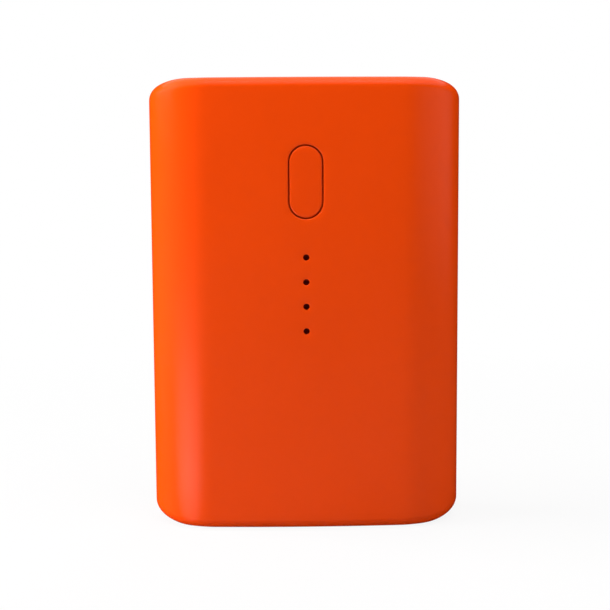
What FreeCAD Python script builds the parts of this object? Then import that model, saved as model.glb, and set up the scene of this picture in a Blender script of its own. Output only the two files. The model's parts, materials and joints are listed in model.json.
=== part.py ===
import FreeCAD, Part
import math
import os
from FreeCAD import Vector

# A pocket-size jump starter pack: two moulded shells round a stack of pouch cells, a key board
# behind the front face, a main board in the middle plane and a port plate in the top end.
# Millimetres. It stands on its flat lower end, with +Z up and the front face towards -Y.

# Housing
WIDTH = 76.0
DEPTH = 27.0
HEIGHT = 108.8
SIDE_R = 11.5            # radius of the rounded long sides
SHOULDER_R = 21.0        # the flat ends fall away towards the sides on this radius
LIMB_R = 4.0             # edge round of the ends at the sides
EDGE_R = 2.4             # edge round of the ends at the front and back
WALL = 2.0
SEAM_GROOVE = 0.35       # width of the shadow line between the two shells
SEAM_DEPTH = 0.5
LIP_H = 1.6              # tongue of the rear shell that sits in the front shell
LIP_T = 0.85
LIP_CLEAR = 0.1
LIP_START = WALL - LIP_T

# Snap hooks of the rear shell
HOOK_W = 6.0
HOOK_T = 1.2
HOOK_REACH = 5.0         # how far a hook reaches into the front shell
HOOK_CATCH = 1.4         # length of the barb
HOOK_BITE = 0.65         # how far the barb stands out of the arm
HOOK_CLEAR = 0.25
HOOK_SPACING = 32.0
HOOKS_PER_SIDE = 3

# Button and its switch
BUTTON_FROM_TOP = 24.7
BUTTON_W = 7.76
BUTTON_L = 16.96
BUTTON_GAP = 0.32
BUTTON_CHAMFER = 0.25
BUTTON_FLANGE = 1.5      # the flange is wider than the cap by this much on each side
BUTTON_FLANGE_T = 0.8
BUTTON_SEAT_GAP = 0.2
KEY_TRAVEL = 0.25
GUIDE_RIB_GAP = 0.2      # beside the flange
GUIDE_RIB_T = 1.0
SWITCH_SIZE = 5.2
SWITCH_H = 0.95
PLUNGER_R = 1.6
PLUNGER_OUT = 0.35
PLUNGER_SUNK = 0.35
PLUNGER_CLEAR = 0.08

# Charge lamps behind the front face
LAMPS_BELOW_BUTTON = 17.9
LAMP_PITCH = 5.9
LAMP_COUNT = 4
LAMP_HOLE_R = 0.75
LAMP_L = 1.6
LAMP_W = 1.0
LAMP_H = 0.6
GUIDE_W = 3.4
GUIDE_T = 1.4
GUIDE_END = 2.6
GUIDE_SEAT_GAP = 0.1
GUIDE_LUG_X = 3.8
GUIDE_LUG = 3.0          # length and width of a lug
GUIDE_POST = 1.4         # side of the square post in it
POST_CLEAR = 0.1

# Key board
KEY_BOARD_T = 1.0
KEY_BOARD_W = 18.6
KEY_BOARD_BELOW = 4.6    # how far it reaches below the lowest lamp
KEY_BOARD_ABOVE = 11.9   # and above the middle of the button
STAKE_INSET = 2.2
STAKE_FOOT = 3.0         # side of the foot that the board rests on
STAKE_POST = 1.6         # side of the post through the board
STAKE_HEAD = 2.6         # side of the melted head
STAKE_HEAD_H = 0.5
STAKE_CLEAR = 0.1

# Cells
CELL_W = 58.0
CELL_CORNER = 1.2
CELL_COUNT = 3
CELL_FLOOR_GAP = 0.2
SEAL_H = 3.5
SEAL_T = 0.5
SEAL_INSET = 2.0
SEAL_ROOT = 0.5          # the seal starts this far inside the bag
TAB_W = 8.0
TAB_T = 0.3
TAB_H = 1.5
TAB_X = 16.0
TAPE_T = 0.2
TAPE_W = 40.0
TAPE_H = 48.0
STACK_GAP = 0.8          # from the key board to the first cell
SHEET_T = 0.25
RIB_T = 1.2
RIB_GAP = 0.4
FLOOR_RIB_H = 2.3
FLOOR_RIB_X = 19.0
PAD_W = 24.0
PAD_GAP = 0.3            # from a pad to the shell's wall
REAR_PAD_T = 2.2
REAR_PAD_RISE = 15.8     # above the foot of the cells
REAR_PAD_BELOW = 3.8     # below the thermistor
FRONT_PAD_RISE = 4.0     # above the foot of the cells
FRONT_PAD_BELOW = 5.4    # below the key board
TAB_BOARD_T = 1.0
TAB_BOARD_INSET = 2.0

# Main board
BOARD_T = 1.6
BOARD_W = 62.0
BOARD_H = 31.1
BOARD_GAP = 2.0          # above the tab board
BOARD_TOP_GAP = 0.5      # below the port plate
BOARD_SCREW_INSET_X = 3.2
BOARD_SCREW_LOW = 4.5
BOARD_BOSS = 4.6         # side of a square screw boss
BOARD_SCREW_R = 0.95
BOARD_SCREW_L = 6.0
BOARD_HEAD_R = 1.8
BOARD_HEAD_H = 1.2
BOARD_HOLE_CLEAR = 0.2
SCREW_CLEAR = 0.05
SCREW_END_GAP = 0.4      # between a screw's tip and the end of its bore
NOTCH_CLEAR = 0.1

# Port plate in the top end
PLATE_L = 53.6
PLATE_W = 16.0
PLATE_CORNER_R = 5.0
PLATE_GAP = 0.2
PLATE_RECESS = 0.4
PLATE_FLANGE = 1.5
PLATE_FLANGE_T = 1.2
LEDGE_W = 8.0
LEDGE_T = 1.4
LEDGE_X = 14.0
LEDGE_GRIP = 1.0
LEDGE_CLEAR = 0.1
PORT_CLEAR = 0.12

# Jump socket
SOCKET_X = -13.5
SOCKET_Y = -0.9
SOCKET_L = 17.6
SOCKET_W = 8.6
SOCKET_WALL = 0.9
SOCKET_KEY = 2.0         # the chamfered corners at the positive end
SOCKET_DEPTH = 13.0
SOCKET_FLOOR = 1.5
CONTACT_R = 2.5
CONTACT_PITCH = 9.6
CONTACT_BELOW_MOUTH = 2.6
CONTACT_TIP = 0.6
TAIL = 3.0               # side of a contact's square tail
TAIL_L = 4.7
TAIL_CLEAR = 0.05
EAR_W = 1.6
EAR_T = 1.2
EAR_H = 4.0
EAR_RISE = 1.0           # above the socket's lower end
BUSBAR_W = 7.0
BUSBAR_T = 0.8
BUSBAR_OUT = 5.4         # how far the strip runs off the socket's middle
LUG_BELOW_FLOOR = 3.3

# Rubber cover of the jump socket
COVER_MARGIN = 0.7
COVER_T = 1.1
COVER_GAP = 0.2
COVER_UNDER = 0.1
SKIRT_DEPTH = 1.8
SKIRT_WALL = 1.0
SKIRT_CLEAR = 0.45
HINGE_GAP = 0.6
NECK_T = 0.6
NECK_W = 12.0
NECK_REACH = 0.9
LEG_T = 0.8
BAR_T = 0.8
BAR_W = 1.8
SCOOP_W = 8.0
SCOOP_R = 0.7

# Data and charging ports
USB_A_X = 6.8
USB_A_W = 13.2
USB_A_H = 5.7
USB_A_DEEP = 13.6
USB_C_X = 19.4
USB_C_W = 8.94
USB_C_H = 3.26
USB_C_DEEP = 7.3
SHELL_T = 0.3
SHELL_EAR = 1.0
SHELL_EAR_T = 0.3
SHELL_EAR_H = 3.0
TONGUE_A_W = 11.2
TONGUE_A_T = 1.84
TONGUE_A_L = 8.6
TONGUE_A_OFF = 0.75
BLOCK_A_H = 3.0
TONGUE_C_W = 6.7
TONGUE_C_T = 0.7
TONGUE_C_L = 4.6
BLOCK_C_H = 1.6
FIT = 0.05
CONTACT_T = 0.12
A_CONTACT_W = 1.1
A_CONTACT_L = 7.4
A_CONTACT_PITCH = 2.3
A_CONTACTS = 4
C_CONTACT_W = 0.25
C_CONTACT_L = 3.8
C_CONTACT_PITCH = 0.75
C_CONTACTS = 8

# Parts on the main board
PART_EDGE = 0.8          # from the board's lower edge to the lowest parts
HEADER_X = 4.5
HEADER_BELOW_USB = 5.3
HEADER_PINS = 6
HEADER_PITCH = 1.27
HEADER_PIN = 0.5
HEADER_W = 2.5
HEADER_T = 2.3
TRANSISTOR_W = 6.2
TRANSISTOR_H = 5.2
TRANSISTOR_T = 2.3
TRANSISTOR_PITCH_X = 6.6
TRANSISTOR_PITCH_Z = 5.9
TRANSISTOR_X = -21.8
SPREADER_T = 1.2
SPREADER_EDGE = 0.4
INDUCTOR_SIZE = 8.0
INDUCTOR_H = 4.2
INDUCTOR_X = 3.4
CAPACITOR_W = 4.3
CAPACITOR_L = 7.3
CAPACITOR_H = 2.8
CAPACITOR_PITCH = 5.4
CAPACITOR_X = 11.4
CHIP_SIZE = 7.0
CHIP_T = 0.9
CHIP_X = 8.0
DRIVER_L = 5.0
DRIVER_W = 4.0
DRIVER_T = 1.4
DRIVER_PITCH = 6.6
DRIVER_X = 19.0
BEAD = 1.6
BEAD_L = 4.0
BEAD_BELOW = 12.0        # from the top of the cells to the bead's lower end
BEAD_X = 8.0
BEAD_LEAD = 0.3
BEAD_LEAD_PITCH = 1.0

# Worked out from the sizes above
HALF_W = WIDTH/2
HALF_D = DEPTH/2
SIDE_X = HALF_W - SIDE_R
CROWN_R = (SIDE_X**2 + HALF_D**2 - SIDE_R**2)/(2*(HALF_D - SIDE_R))
CROWN_END = SIDE_X + SIDE_R*SIDE_X/(CROWN_R - SIDE_R)
INNER_D = HALF_D - WALL

PLATE_TOP = HEIGHT - PLATE_RECESS
PLATE_LOW = HEIGHT - WALL - PLATE_FLANGE_T
BOARD_HIGH = PLATE_LOW - BOARD_TOP_GAP
BOARD_LOW = BOARD_HIGH - BOARD_H
BOARD_FRONT = -BOARD_T/2
BOARD_REAR = BOARD_T/2
BOARD_SCREW_END = BOARD_FRONT + BOARD_SCREW_L
PART_LOW = BOARD_LOW + PART_EDGE

BUTTON_Z = HEIGHT - BUTTON_FROM_TOP
FLANGE_FRONT = -INNER_D + BUTTON_SEAT_GAP
FLANGE_REAR = FLANGE_FRONT + BUTTON_FLANGE_T
SWITCH_FACE = FLANGE_REAR + PLUNGER_OUT
KEY_FACE = SWITCH_FACE + SWITCH_H
KEY_REAR = KEY_FACE + KEY_BOARD_T
LAMP_TOP_Z = BUTTON_Z - LAMPS_BELOW_BUTTON
LAMP_LOW_Z = LAMP_TOP_Z - (LAMP_COUNT - 1)*LAMP_PITCH
KEY_LOW = LAMP_LOW_Z - KEY_BOARD_BELOW
KEY_HIGH = BUTTON_Z + KEY_BOARD_ABOVE
GUIDE_FACE = -INNER_D + GUIDE_SEAT_GAP
GUIDE_REAR = GUIDE_FACE + GUIDE_T

PAD_FACE = math.sqrt((CROWN_R - WALL)**2 - (PAD_W/2)**2) - (CROWN_R - HALF_D) - PAD_GAP
STACK_FACE = KEY_REAR + STACK_GAP
STACK_REAR = PAD_FACE - REAR_PAD_T
CELL_PITCH = (STACK_REAR - STACK_FACE + TAPE_T)/CELL_COUNT
CELL_T = CELL_PITCH - TAPE_T
TAB_BOARD_HIGH = BOARD_LOW - BOARD_GAP
TAB_BOARD_LOW = TAB_BOARD_HIGH - TAB_BOARD_T
TAB_LOW = TAB_BOARD_LOW - TAB_H
CELL_HIGH = TAB_LOW - SEAL_H
CELL_LOW = WALL + FLOOR_RIB_H + CELL_FLOOR_GAP
BEAD_LOW = CELL_HIGH - BEAD_BELOW

MOUTH = PLATE_TOP - COVER_T - COVER_UNDER
SOCKET_BED = MOUTH - SOCKET_DEPTH
SOCKET_LOW = SOCKET_BED - SOCKET_FLOOR
SOCKET_HALF_L = SOCKET_L/2 + SOCKET_WALL
SOCKET_HALF_W = SOCKET_W/2 + SOCKET_WALL
LUG_HIGH = SOCKET_LOW - LUG_BELOW_FLOOR
LUG_LOW = LUG_HIGH - BUSBAR_T
CONTACT_X = (SOCKET_X - CONTACT_PITCH/2, SOCKET_X + CONTACT_PITCH/2)
COVER_HALF_L = SOCKET_HALF_L + COVER_MARGIN
COVER_HALF_W = SOCKET_HALF_W + COVER_MARGIN
HINGE_Y = SOCKET_Y + COVER_HALF_W + HINGE_GAP
HINGE_Z = PLATE_TOP - NECK_T/2
LEG_Y = HINGE_Y + NECK_REACH
USB_A_LOW = PLATE_TOP - USB_A_DEEP
USB_C_LOW = PLATE_TOP - USB_C_DEEP


def box(x0, x1, y0, y1, z0, z1):
    return Part.makeBox(x1 - x0, y1 - y0, z1 - z0, Vector(x0, y0, z0))


def block_y(x, z, width, height, y0, y1):
    """A block centred on x and z."""
    return box(x - width/2, x + width/2, y0, y1, z - height/2, z + height/2)


def block_z(x, y, length, width, z0, z1):
    """A block centred on x and y."""
    return box(x - length/2, x + length/2, y - width/2, y + width/2, z0, z1)


def rod_y(x, z, radius, y0, y1):
    return Part.makeCylinder(radius, y1 - y0, Vector(x, y0, z), Vector(0, 1, 0))


def rod_z(x, y, radius, z0, z1):
    return Part.makeCylinder(radius, z1 - z0, Vector(x, y, z0), Vector(0, 0, 1))


def line(p, q):
    return Part.LineSegment(p, q).toShape()


def arc(p, q, r):
    return Part.Arc(p, q, r).toShape()


def side_x(y, inset=0.0):
    """Half width of the housing's section at a depth y, on the rounded side."""
    return SIDE_X + math.sqrt((SIDE_R - inset)**2 - y*y)


def crown_y(x, inset=0.0):
    """Half depth of the housing's section at x, on the crowned face or past its end."""
    if abs(x) > CROWN_END:
        return math.sqrt((SIDE_R - inset)**2 - (abs(x) - SIDE_X)**2)
    return math.sqrt((CROWN_R - inset)**2 - x*x) - (CROWN_R - HALF_D)


def section(inset):
    """The housing's level section: a crowned front and back joined by rounded sides."""
    radius = SIDE_R - inset
    turn = math.pi/2 - math.asin(SIDE_X/(CROWN_R - SIDE_R))

    def rim(sx, sy, angle):
        return Vector(sx*(SIDE_X + radius*math.cos(angle)), sy*radius*math.sin(angle), 0)

    edges = []
    for sx, sy in ((1, 1), (-1, 1), (-1, -1), (1, -1)):
        quarter = [rim(sx, sy, 0), rim(sx, sy, turn/2), rim(sx, sy, turn)]
        face = [rim(sx, sy, turn), Vector(0, sy*(HALF_D - inset), 0), rim(-sx, sy, turn)]
        if sx*sy > 0:
            edges += [arc(*quarter), arc(*face)]
        else:
            edges.append(arc(*reversed(quarter)))
    return Part.Face(Part.Wire(edges))


def end_rise(x, inset):
    """Height of the end surface above the middle of the housing at x."""
    out = max(0.0, abs(x) - CROWN_END)
    radius = SHOULDER_R - inset
    return HEIGHT/2 - SHOULDER_R + math.sqrt(radius**2 - out**2)


def outline_block(points, y0, y1):
    """A block from half an upper outline: each entry is a line's end or an arc's two points."""
    right, here = [], points[0]
    for step in points[1:]:
        right.append((here,) + step)
        here = step[-1]
    corners = []
    for sx, sz in ((1, 1), (1, -1), (-1, -1), (-1, 1)):
        run = [[(sx*x, sz*z) for x, z in piece] for piece in right]
        corners.append(run if sx*sz > 0 else [piece[::-1] for piece in run[::-1]])
    edges, last = [], corners[-1][-1][-1]
    for run in corners:
        for piece in run:
            place = [Vector(x, y0, HEIGHT/2 + z) for x, z in piece]
            start = Vector(last[0], y0, HEIGHT/2 + last[1])
            if start.distanceToPoint(place[0]) > 1e-7:
                edges.append(line(start, place[0]))
            edges.append(arc(*place) if len(place) == 3 else line(*place))
            last = piece[-1]
    return Part.Face(Part.Wire(edges)).extrude(Vector(0, y1 - y0, 0))


def end_block(reach):
    """The housing's two end surfaces, carried past its sides."""
    middle = (CROWN_END + reach)/2
    shoulder = ((middle, end_rise(middle, 0)), (reach, end_rise(reach, 0)))
    return outline_block([(CROWN_END, end_rise(0, 0)), shoulder], -DEPTH, DEPTH)


def parting_block(inset, y0, y1):
    """The housing's outline at the parting plane, moved inwards by inset."""
    centre_z = HEIGHT/2 - SHOULDER_R
    limb_x = HALF_W - LIMB_R
    limb_z = centre_z + math.sqrt((SHOULDER_R - LIMB_R)**2 - (limb_x - CROWN_END)**2)
    meet = math.atan2(limb_z - centre_z, limb_x - CROWN_END)

    def shoulder(angle):
        radius = SHOULDER_R - inset
        return (CROWN_END + radius*math.cos(angle), centre_z + radius*math.sin(angle))

    def limb(angle):
        radius = LIMB_R - inset
        return (limb_x + radius*math.cos(angle), limb_z + radius*math.sin(angle))

    upper = (shoulder((meet + math.pi/2)/2), shoulder(meet))
    lower = (limb(meet/2), limb(0))
    return outline_block([shoulder(math.pi/2), upper, lower], y0, y1)


def outer_body():
    """The closed housing with its ends rounded, the round growing towards the sides."""
    body = section(0).extrude(Vector(0, 0, HEIGHT)).common(end_block(HALF_W + 2.0))
    rounds = []
    for number, edge in enumerate(body.Edges, 1):
        start, end = edge.valueAt(edge.FirstParameter), edge.valueAt(edge.LastParameter)
        upright = abs(start.z - end.z) > HEIGHT/2
        across = start.distanceToPoint(end) < DEPTH and abs(start.x - end.x) < 1e-6
        if not upright and not across:
            radii = [LIMB_R if abs(p.y) < 1e-6 else EDGE_R for p in (start, end)]
            rounds.append((number, radii[0], radii[1]))
    document = FreeCAD.newDocument("rounding")
    plain = document.addObject("Part::Feature", "plain")
    plain.Shape = body
    rounded = document.addObject("Part::Fillet", "rounded")
    rounded.Base = plain
    rounded.Edges = rounds
    document.recompute()
    shape = rounded.Shape.copy()
    FreeCAD.closeDocument(document.Name)
    return shape


def cavity():
    room = section(WALL).extrude(Vector(0, 0, HEIGHT))
    return room.common(parting_block(WALL, -DEPTH, DEPTH))


def upright_edges(block):
    return [e for e in block.Edges if e.BoundBox.ZLength > 1e-6]


def edges_along_y(block):
    return [e for e in block.Edges if e.BoundBox.YLength > 1e-6]


def rounded_plate(length, width, radius, x, y, z0, z1):
    plate = box(x - length/2, x + length/2, y - width/2, y + width/2, z0, z1)
    return plate.makeFillet(radius, upright_edges(plate))


def pill(width, length, z, y0, y1):
    """A round-ended block, length upright, lying along Y."""
    reach = (length - width)/2
    bar = box(-width/2, width/2, y0, y1, z - reach, z + reach)
    ends = [rod_y(0, z + s*reach, width/2, y0, y1) for s in (-1, 1)]
    return bar.multiFuse(ends).removeSplitter()


def lamp_heights():
    return [LAMP_TOP_Z - k*LAMP_PITCH for k in range(LAMP_COUNT)]


def hook_heights():
    return [HEIGHT/2 + (k - (HOOKS_PER_SIDE - 1)/2)*HOOK_SPACING for k in range(HOOKS_PER_SIDE)]


def stake_places():
    """The four corners of the key board."""
    x = KEY_BOARD_W/2 - STAKE_INSET
    return [(sx*x, z) for sx in (-1, 1) for z in (KEY_LOW + STAKE_INSET, KEY_HIGH - STAKE_INSET)]


def board_screw_places():
    """The lower corners of the main board; its sockets locate its upper edge in the port plate."""
    x = BOARD_W/2 - BOARD_SCREW_INSET_X
    return [(-x, BOARD_LOW + BOARD_SCREW_LOW), (x, BOARD_LOW + BOARD_SCREW_LOW)]


def hook_arm_x():
    """Outer face of a hook's arm: clear of the front shell's wall down to the barb."""
    return side_x(HOOK_REACH - HOOK_CATCH, WALL) - HOOK_CLEAR


def shell_half(side):
    """One shell before its own features: side is -1 for the front and 1 for the rear."""
    y0, y1 = (-DEPTH, 0) if side < 0 else (0, DEPTH)
    half = outer_body().common(box(-WIDTH, WIDTH, y0, y1, -1, HEIGHT + 1))
    return half.cut(cavity())


def top_opening():
    length, width = PLATE_L + 2*PLATE_GAP, PLATE_W + 2*PLATE_GAP
    radius = PLATE_CORNER_R + PLATE_GAP
    return rounded_plate(length, width, radius, 0, 0, HEIGHT - 2*WALL, HEIGHT + 1)


def plate_ledges(side):
    """Ledges that hold the port plate's flange up against the top wall."""
    high = PLATE_LOW - LEDGE_CLEAR
    ledges = []
    for x in (-LEDGE_X, LEDGE_X):
        near = PLATE_W/2 + PLATE_FLANGE - LEDGE_GRIP
        far = crown_y(abs(x) + LEDGE_W/2, WALL/2)
        y0, y1 = sorted((side*near, side*far))
        ledges.append(box(x - LEDGE_W/2, x + LEDGE_W/2, y0, y1, high - LEDGE_T, high))
    return ledges


def cradle_ribs(side):
    """Upright ribs beside the cells and short ones under them."""
    ribs = []
    end = side*LIP_H*1.5
    x = CELL_W/2 + RIB_GAP
    for sx in (-1, 1):
        x0, x1 = sorted((sx*x, sx*(x + RIB_T)))
        y0, y1 = sorted((end, side*crown_y(x + RIB_T, WALL/2)))
        ribs.append(box(x0, x1, y0, y1, CELL_LOW + TAB_W, CELL_HIGH - TAB_W))
    for x in (-FLOOR_RIB_X, 0, FLOOR_RIB_X):
        y0, y1 = sorted((end, side*crown_y(abs(x) + RIB_T/2, WALL/2)))
        ribs.append(box(x - RIB_T/2, x + RIB_T/2, y0, y1, WALL/2, WALL + FLOOR_RIB_H))
    return ribs


def front_cover():
    shell = shell_half(-1)
    shell = shell.multiFuse(plate_ledges(-1) + cradle_ribs(-1) + button_guides()
                            + key_stakes() + guide_posts())
    hole = pill(BUTTON_W + 2*BUTTON_GAP, BUTTON_L + 2*BUTTON_GAP, BUTTON_Z, -DEPTH, 0)
    cuts = [hole, top_opening(), parting_block(LIP_START - LIP_CLEAR, -LIP_H - LIP_CLEAR, 1)]
    cuts += [rod_y(0, z, LAMP_HOLE_R, -DEPTH, 0) for z in lamp_heights()]
    return shell.cut(cuts + hook_pockets())


def hook_pockets():
    """Recesses of the front shell's side walls that the barbs snap into."""
    pockets = []
    middle = hook_arm_x() - HOOK_BITE/2 + HOOK_CLEAR
    depth, width = 3*HOOK_BITE, HOOK_W + 2*HOOK_CLEAR
    for z in hook_heights():
        for x in (-middle, middle):
            pockets.append(block_y(x, z, depth, width, -HOOK_REACH - HOOK_CLEAR, -HOOK_REACH + HOOK_CATCH))
    return pockets


def button_guides():
    """A rib on each side of the button's flange that keeps it from turning."""
    near = BUTTON_W/2 + BUTTON_FLANGE + GUIDE_RIB_GAP
    half = (BUTTON_L - BUTTON_W)/2
    return [box(x, x + GUIDE_RIB_T, -HALF_D + WALL/2, FLANGE_REAR, BUTTON_Z - half, BUTTON_Z + half)
            for x in (-near - GUIDE_RIB_T, near)]


def key_stakes():
    """Posts of the front shell through the key board, with their ends melted over it."""
    stakes = []
    for x, z in stake_places():
        for size, y0, y1 in ((STAKE_FOOT, -HALF_D + WALL/2, KEY_FACE),
                             (STAKE_POST, KEY_FACE, KEY_REAR),
                             (STAKE_HEAD, KEY_REAR, KEY_REAR + STAKE_HEAD_H)):
            stakes.append(block_y(x, z, size, size, y0, y1))
    return stakes


def guide_posts():
    z = (LAMP_TOP_Z + LAMP_LOW_Z)/2
    return [block_y(x, z, GUIDE_POST, GUIDE_POST, -HALF_D + WALL/2, GUIDE_REAR)
            for x in (-GUIDE_LUG_X, GUIDE_LUG_X)]


def rear_cover():
    shell = shell_half(1)
    lip = parting_block(LIP_START, -LIP_H, WALL/2).cut(parting_block(LIP_START + LIP_T, -LIP_H - 1, WALL))
    flange = PLATE_L/2 + PLATE_FLANGE + LIP_CLEAR
    lip = lip.cut(box(-flange, flange, -DEPTH, DEPTH, HEIGHT - 3*WALL, HEIGHT))
    bosses = [block_y(x, z, BOARD_BOSS, BOARD_BOSS, BOARD_REAR, crown_y(abs(x) + BOARD_BOSS/2, WALL/2))
              for x, z in board_screw_places()]
    shell = shell.multiFuse([lip] + bosses + plate_ledges(1) + cradle_ribs(1) + hooks())
    groove = parting_block(-1, 0, SEAM_GROOVE).cut(parting_block(SEAM_DEPTH, -1, 1))
    cuts = [top_opening(), groove]
    bore = BOARD_SCREW_R + SCREW_CLEAR
    cuts += [rod_y(x, z, bore, 0, BOARD_SCREW_END + SCREW_END_GAP) for x, z in board_screw_places()]
    return shell.cut(cuts)


def hooks():
    """Cantilever arms that reach into the front shell, each with a barb at its tip."""
    arms = []
    outer = hook_arm_x()
    root = math.sqrt((SIDE_R - WALL/2)**2 - (outer - SIDE_X)**2)
    catch_y = -HOOK_REACH + HOOK_CATCH - HOOK_CLEAR
    barb = [Vector(outer, -HOOK_REACH, 0), Vector(outer + HOOK_BITE, catch_y, 0), Vector(outer, catch_y, 0)]
    for z in hook_heights():
        arm = box(outer - HOOK_T, outer, -HOOK_REACH, root, z - HOOK_W/2, z + HOOK_W/2)
        tip = Part.Face(Part.makePolygon(barb + barb[:1])).extrude(Vector(0, 0, HOOK_W))
        tip.translate(Vector(0, 0, z - HOOK_W/2))
        hook = arm.fuse(tip)
        arms += [hook, hook.mirror(Vector(0, 0, 0), Vector(1, 0, 0))]
    return arms


def power_button():
    """A pill-shaped cap, flush with the face at its sides, and a flange behind the front wall."""
    cap = pill(BUTTON_W, BUTTON_L, BUTTON_Z, -crown_y(BUTTON_W/2), FLANGE_FRONT)
    rim = [e for e in cap.Edges if e.BoundBox.YMax < -crown_y(BUTTON_W/2) + BUTTON_CHAMFER]
    cap = cap.makeChamfer(BUTTON_CHAMFER, rim)
    half_w, half_l = BUTTON_W/2 + BUTTON_FLANGE, BUTTON_L/2 + BUTTON_FLANGE
    flange = box(-half_w, half_w, FLANGE_FRONT, FLANGE_REAR, BUTTON_Z - half_l, BUTTON_Z + half_l)
    return cap.fuse(flange)


def tact_switch_body():
    half = SWITCH_SIZE/2
    body = box(-half, half, SWITCH_FACE, KEY_FACE, BUTTON_Z - half, BUTTON_Z + half)
    body = body.makeChamfer(SWITCH_SIZE/10, edges_along_y(body))
    well = SWITCH_FACE + PLUNGER_SUNK + KEY_TRAVEL
    return body.cut(rod_y(0, BUTTON_Z, PLUNGER_R + PLUNGER_CLEAR, SWITCH_FACE - 1, well + 0.05))


def tact_switch_plunger():
    return rod_y(0, BUTTON_Z, PLUNGER_R, FLANGE_REAR, SWITCH_FACE + PLUNGER_SUNK)


def tact_switch_terminals():
    half = SWITCH_SIZE/2
    legs = []
    for sx in (-1, 1):
        for sz in (-1, 1):
            x0, x1 = sorted((sx*half, sx*(half + 1.0)))
            z = BUTTON_Z + sz*half*0.6
            legs.append(box(x0, x1, KEY_FACE - 0.2, KEY_FACE, z - 0.4, z + 0.4))
    return Part.makeCompound(legs)


def key_board():
    board = box(-KEY_BOARD_W/2, KEY_BOARD_W/2, KEY_FACE, KEY_REAR, KEY_LOW, KEY_HIGH)
    hole = STAKE_POST + 2*STAKE_CLEAR
    return board.cut([block_y(x, z, hole, hole, -DEPTH, DEPTH) for x, z in stake_places()])


def charge_lamps():
    lamps = [box(-LAMP_L/2, LAMP_L/2, KEY_FACE - LAMP_H, KEY_FACE, z - LAMP_W/2, z + LAMP_W/2)
             for z in lamp_heights()]
    return Part.makeCompound(lamps)


def light_guide():
    """A clear bar between the lamps and their holes, with a lug over each post."""
    z0, z1 = LAMP_LOW_Z - GUIDE_END, LAMP_TOP_Z + GUIDE_END
    bar = box(-GUIDE_W/2, GUIDE_W/2, GUIDE_FACE, GUIDE_REAR, z0, z1)
    middle = (z0 + z1)/2
    end = GUIDE_LUG_X + GUIDE_LUG/2
    face = -crown_y(end, WALL) + GUIDE_SEAT_GAP
    lugs = box(-end, end, face, GUIDE_REAR, middle - GUIDE_LUG/2, middle + GUIDE_LUG/2)
    body = bar.fuse(lugs).removeSplitter()
    hole = GUIDE_POST + 2*POST_CLEAR
    return body.cut([block_y(x, middle, hole, hole, -DEPTH, 0) for x in (-GUIDE_LUG_X, GUIDE_LUG_X)])


def cell(number):
    """A pouch cell: a soft-cornered bag with its folded seal along the top."""
    y0 = STACK_FACE + number*CELL_PITCH
    bag = box(-CELL_W/2, CELL_W/2, y0, y0 + CELL_T, CELL_LOW, CELL_HIGH)
    bag = bag.makeChamfer(CELL_CORNER, upright_edges(bag))
    middle = y0 + CELL_T/2
    seal = box(-CELL_W/2 + SEAL_INSET, CELL_W/2 - SEAL_INSET, middle - SEAL_T/2, middle + SEAL_T/2,
               CELL_HIGH - SEAL_ROOT, TAB_LOW)
    return bag.fuse(seal)


def cell_tabs():
    tabs = []
    for number in range(CELL_COUNT):
        y = STACK_FACE + number*CELL_PITCH + CELL_T/2
        for x in (-TAB_X, TAB_X):
            tabs.append(box(x - TAB_W/2, x + TAB_W/2, y - TAB_T/2, y + TAB_T/2, TAB_LOW, TAB_BOARD_LOW))
    return Part.makeCompound(tabs)


def cell_tapes():
    tapes = []
    middle = (CELL_LOW + CELL_HIGH)/2
    for number in range(CELL_COUNT - 1):
        y = STACK_FACE + number*CELL_PITCH + CELL_T
        tapes.append(box(-TAPE_W/2, TAPE_W/2, y, y + TAPE_T, middle - TAPE_H/2, middle + TAPE_H/2))
    return Part.makeCompound(tapes)


def insulation_sheet():
    half = KEY_BOARD_W/2 + 1.5
    return box(-half, half, STACK_FACE - SHEET_T, STACK_FACE, KEY_LOW - 2.0, TAB_LOW)


def front_pad():
    low, high = CELL_LOW + FRONT_PAD_RISE, KEY_LOW - FRONT_PAD_BELOW
    return box(-PAD_W/2, PAD_W/2, -PAD_FACE, STACK_FACE, low, high)


def rear_pad():
    low, high = CELL_LOW + REAR_PAD_RISE, BEAD_LOW - REAR_PAD_BELOW
    return box(-PAD_W/2, PAD_W/2, STACK_REAR, PAD_FACE, low, high)


def tab_board():
    half = CELL_W/2 - TAB_BOARD_INSET
    return box(-half, half, STACK_FACE + 0.3, STACK_REAR + BEAD_LEAD + 0.1, TAB_BOARD_LOW, TAB_BOARD_HIGH)


def thermistor():
    """A bead on the rear cell with its two leads up to the tab board."""
    bead = box(BEAD_X - BEAD, BEAD_X + BEAD, STACK_REAR, STACK_REAR + BEAD, BEAD_LOW, BEAD_LOW + BEAD_L)
    rear = STACK_REAR + BEAD_LEAD
    leads = [box(x - BEAD_LEAD/2, x + BEAD_LEAD/2, STACK_REAR, rear, BEAD_LOW, TAB_BOARD_LOW)
             for x in (BEAD_X - BEAD_LEAD_PITCH/2, BEAD_X + BEAD_LEAD_PITCH/2)]
    return bead.multiFuse(leads)


def notch(x, half, low):
    return box(x - half - NOTCH_CLEAR, x + half + NOTCH_CLEAR, -BOARD_T, BOARD_T, low, HEIGHT)


def main_board():
    board = box(-BOARD_W/2, BOARD_W/2, BOARD_FRONT, BOARD_REAR, BOARD_LOW, BOARD_HIGH)
    cuts = [notch(SOCKET_X, SOCKET_HALF_L, LUG_LOW - 2.0),
            notch(USB_A_X, USB_A_W/2, USB_A_LOW - NOTCH_CLEAR),
            notch(USB_C_X, USB_C_W/2, USB_C_LOW - NOTCH_CLEAR)]
    hole = BOARD_SCREW_R + BOARD_HOLE_CLEAR
    cuts += [rod_y(x, z, hole, -BOARD_T, BOARD_T) for x, z in board_screw_places()]
    return board.cut(cuts)


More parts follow.
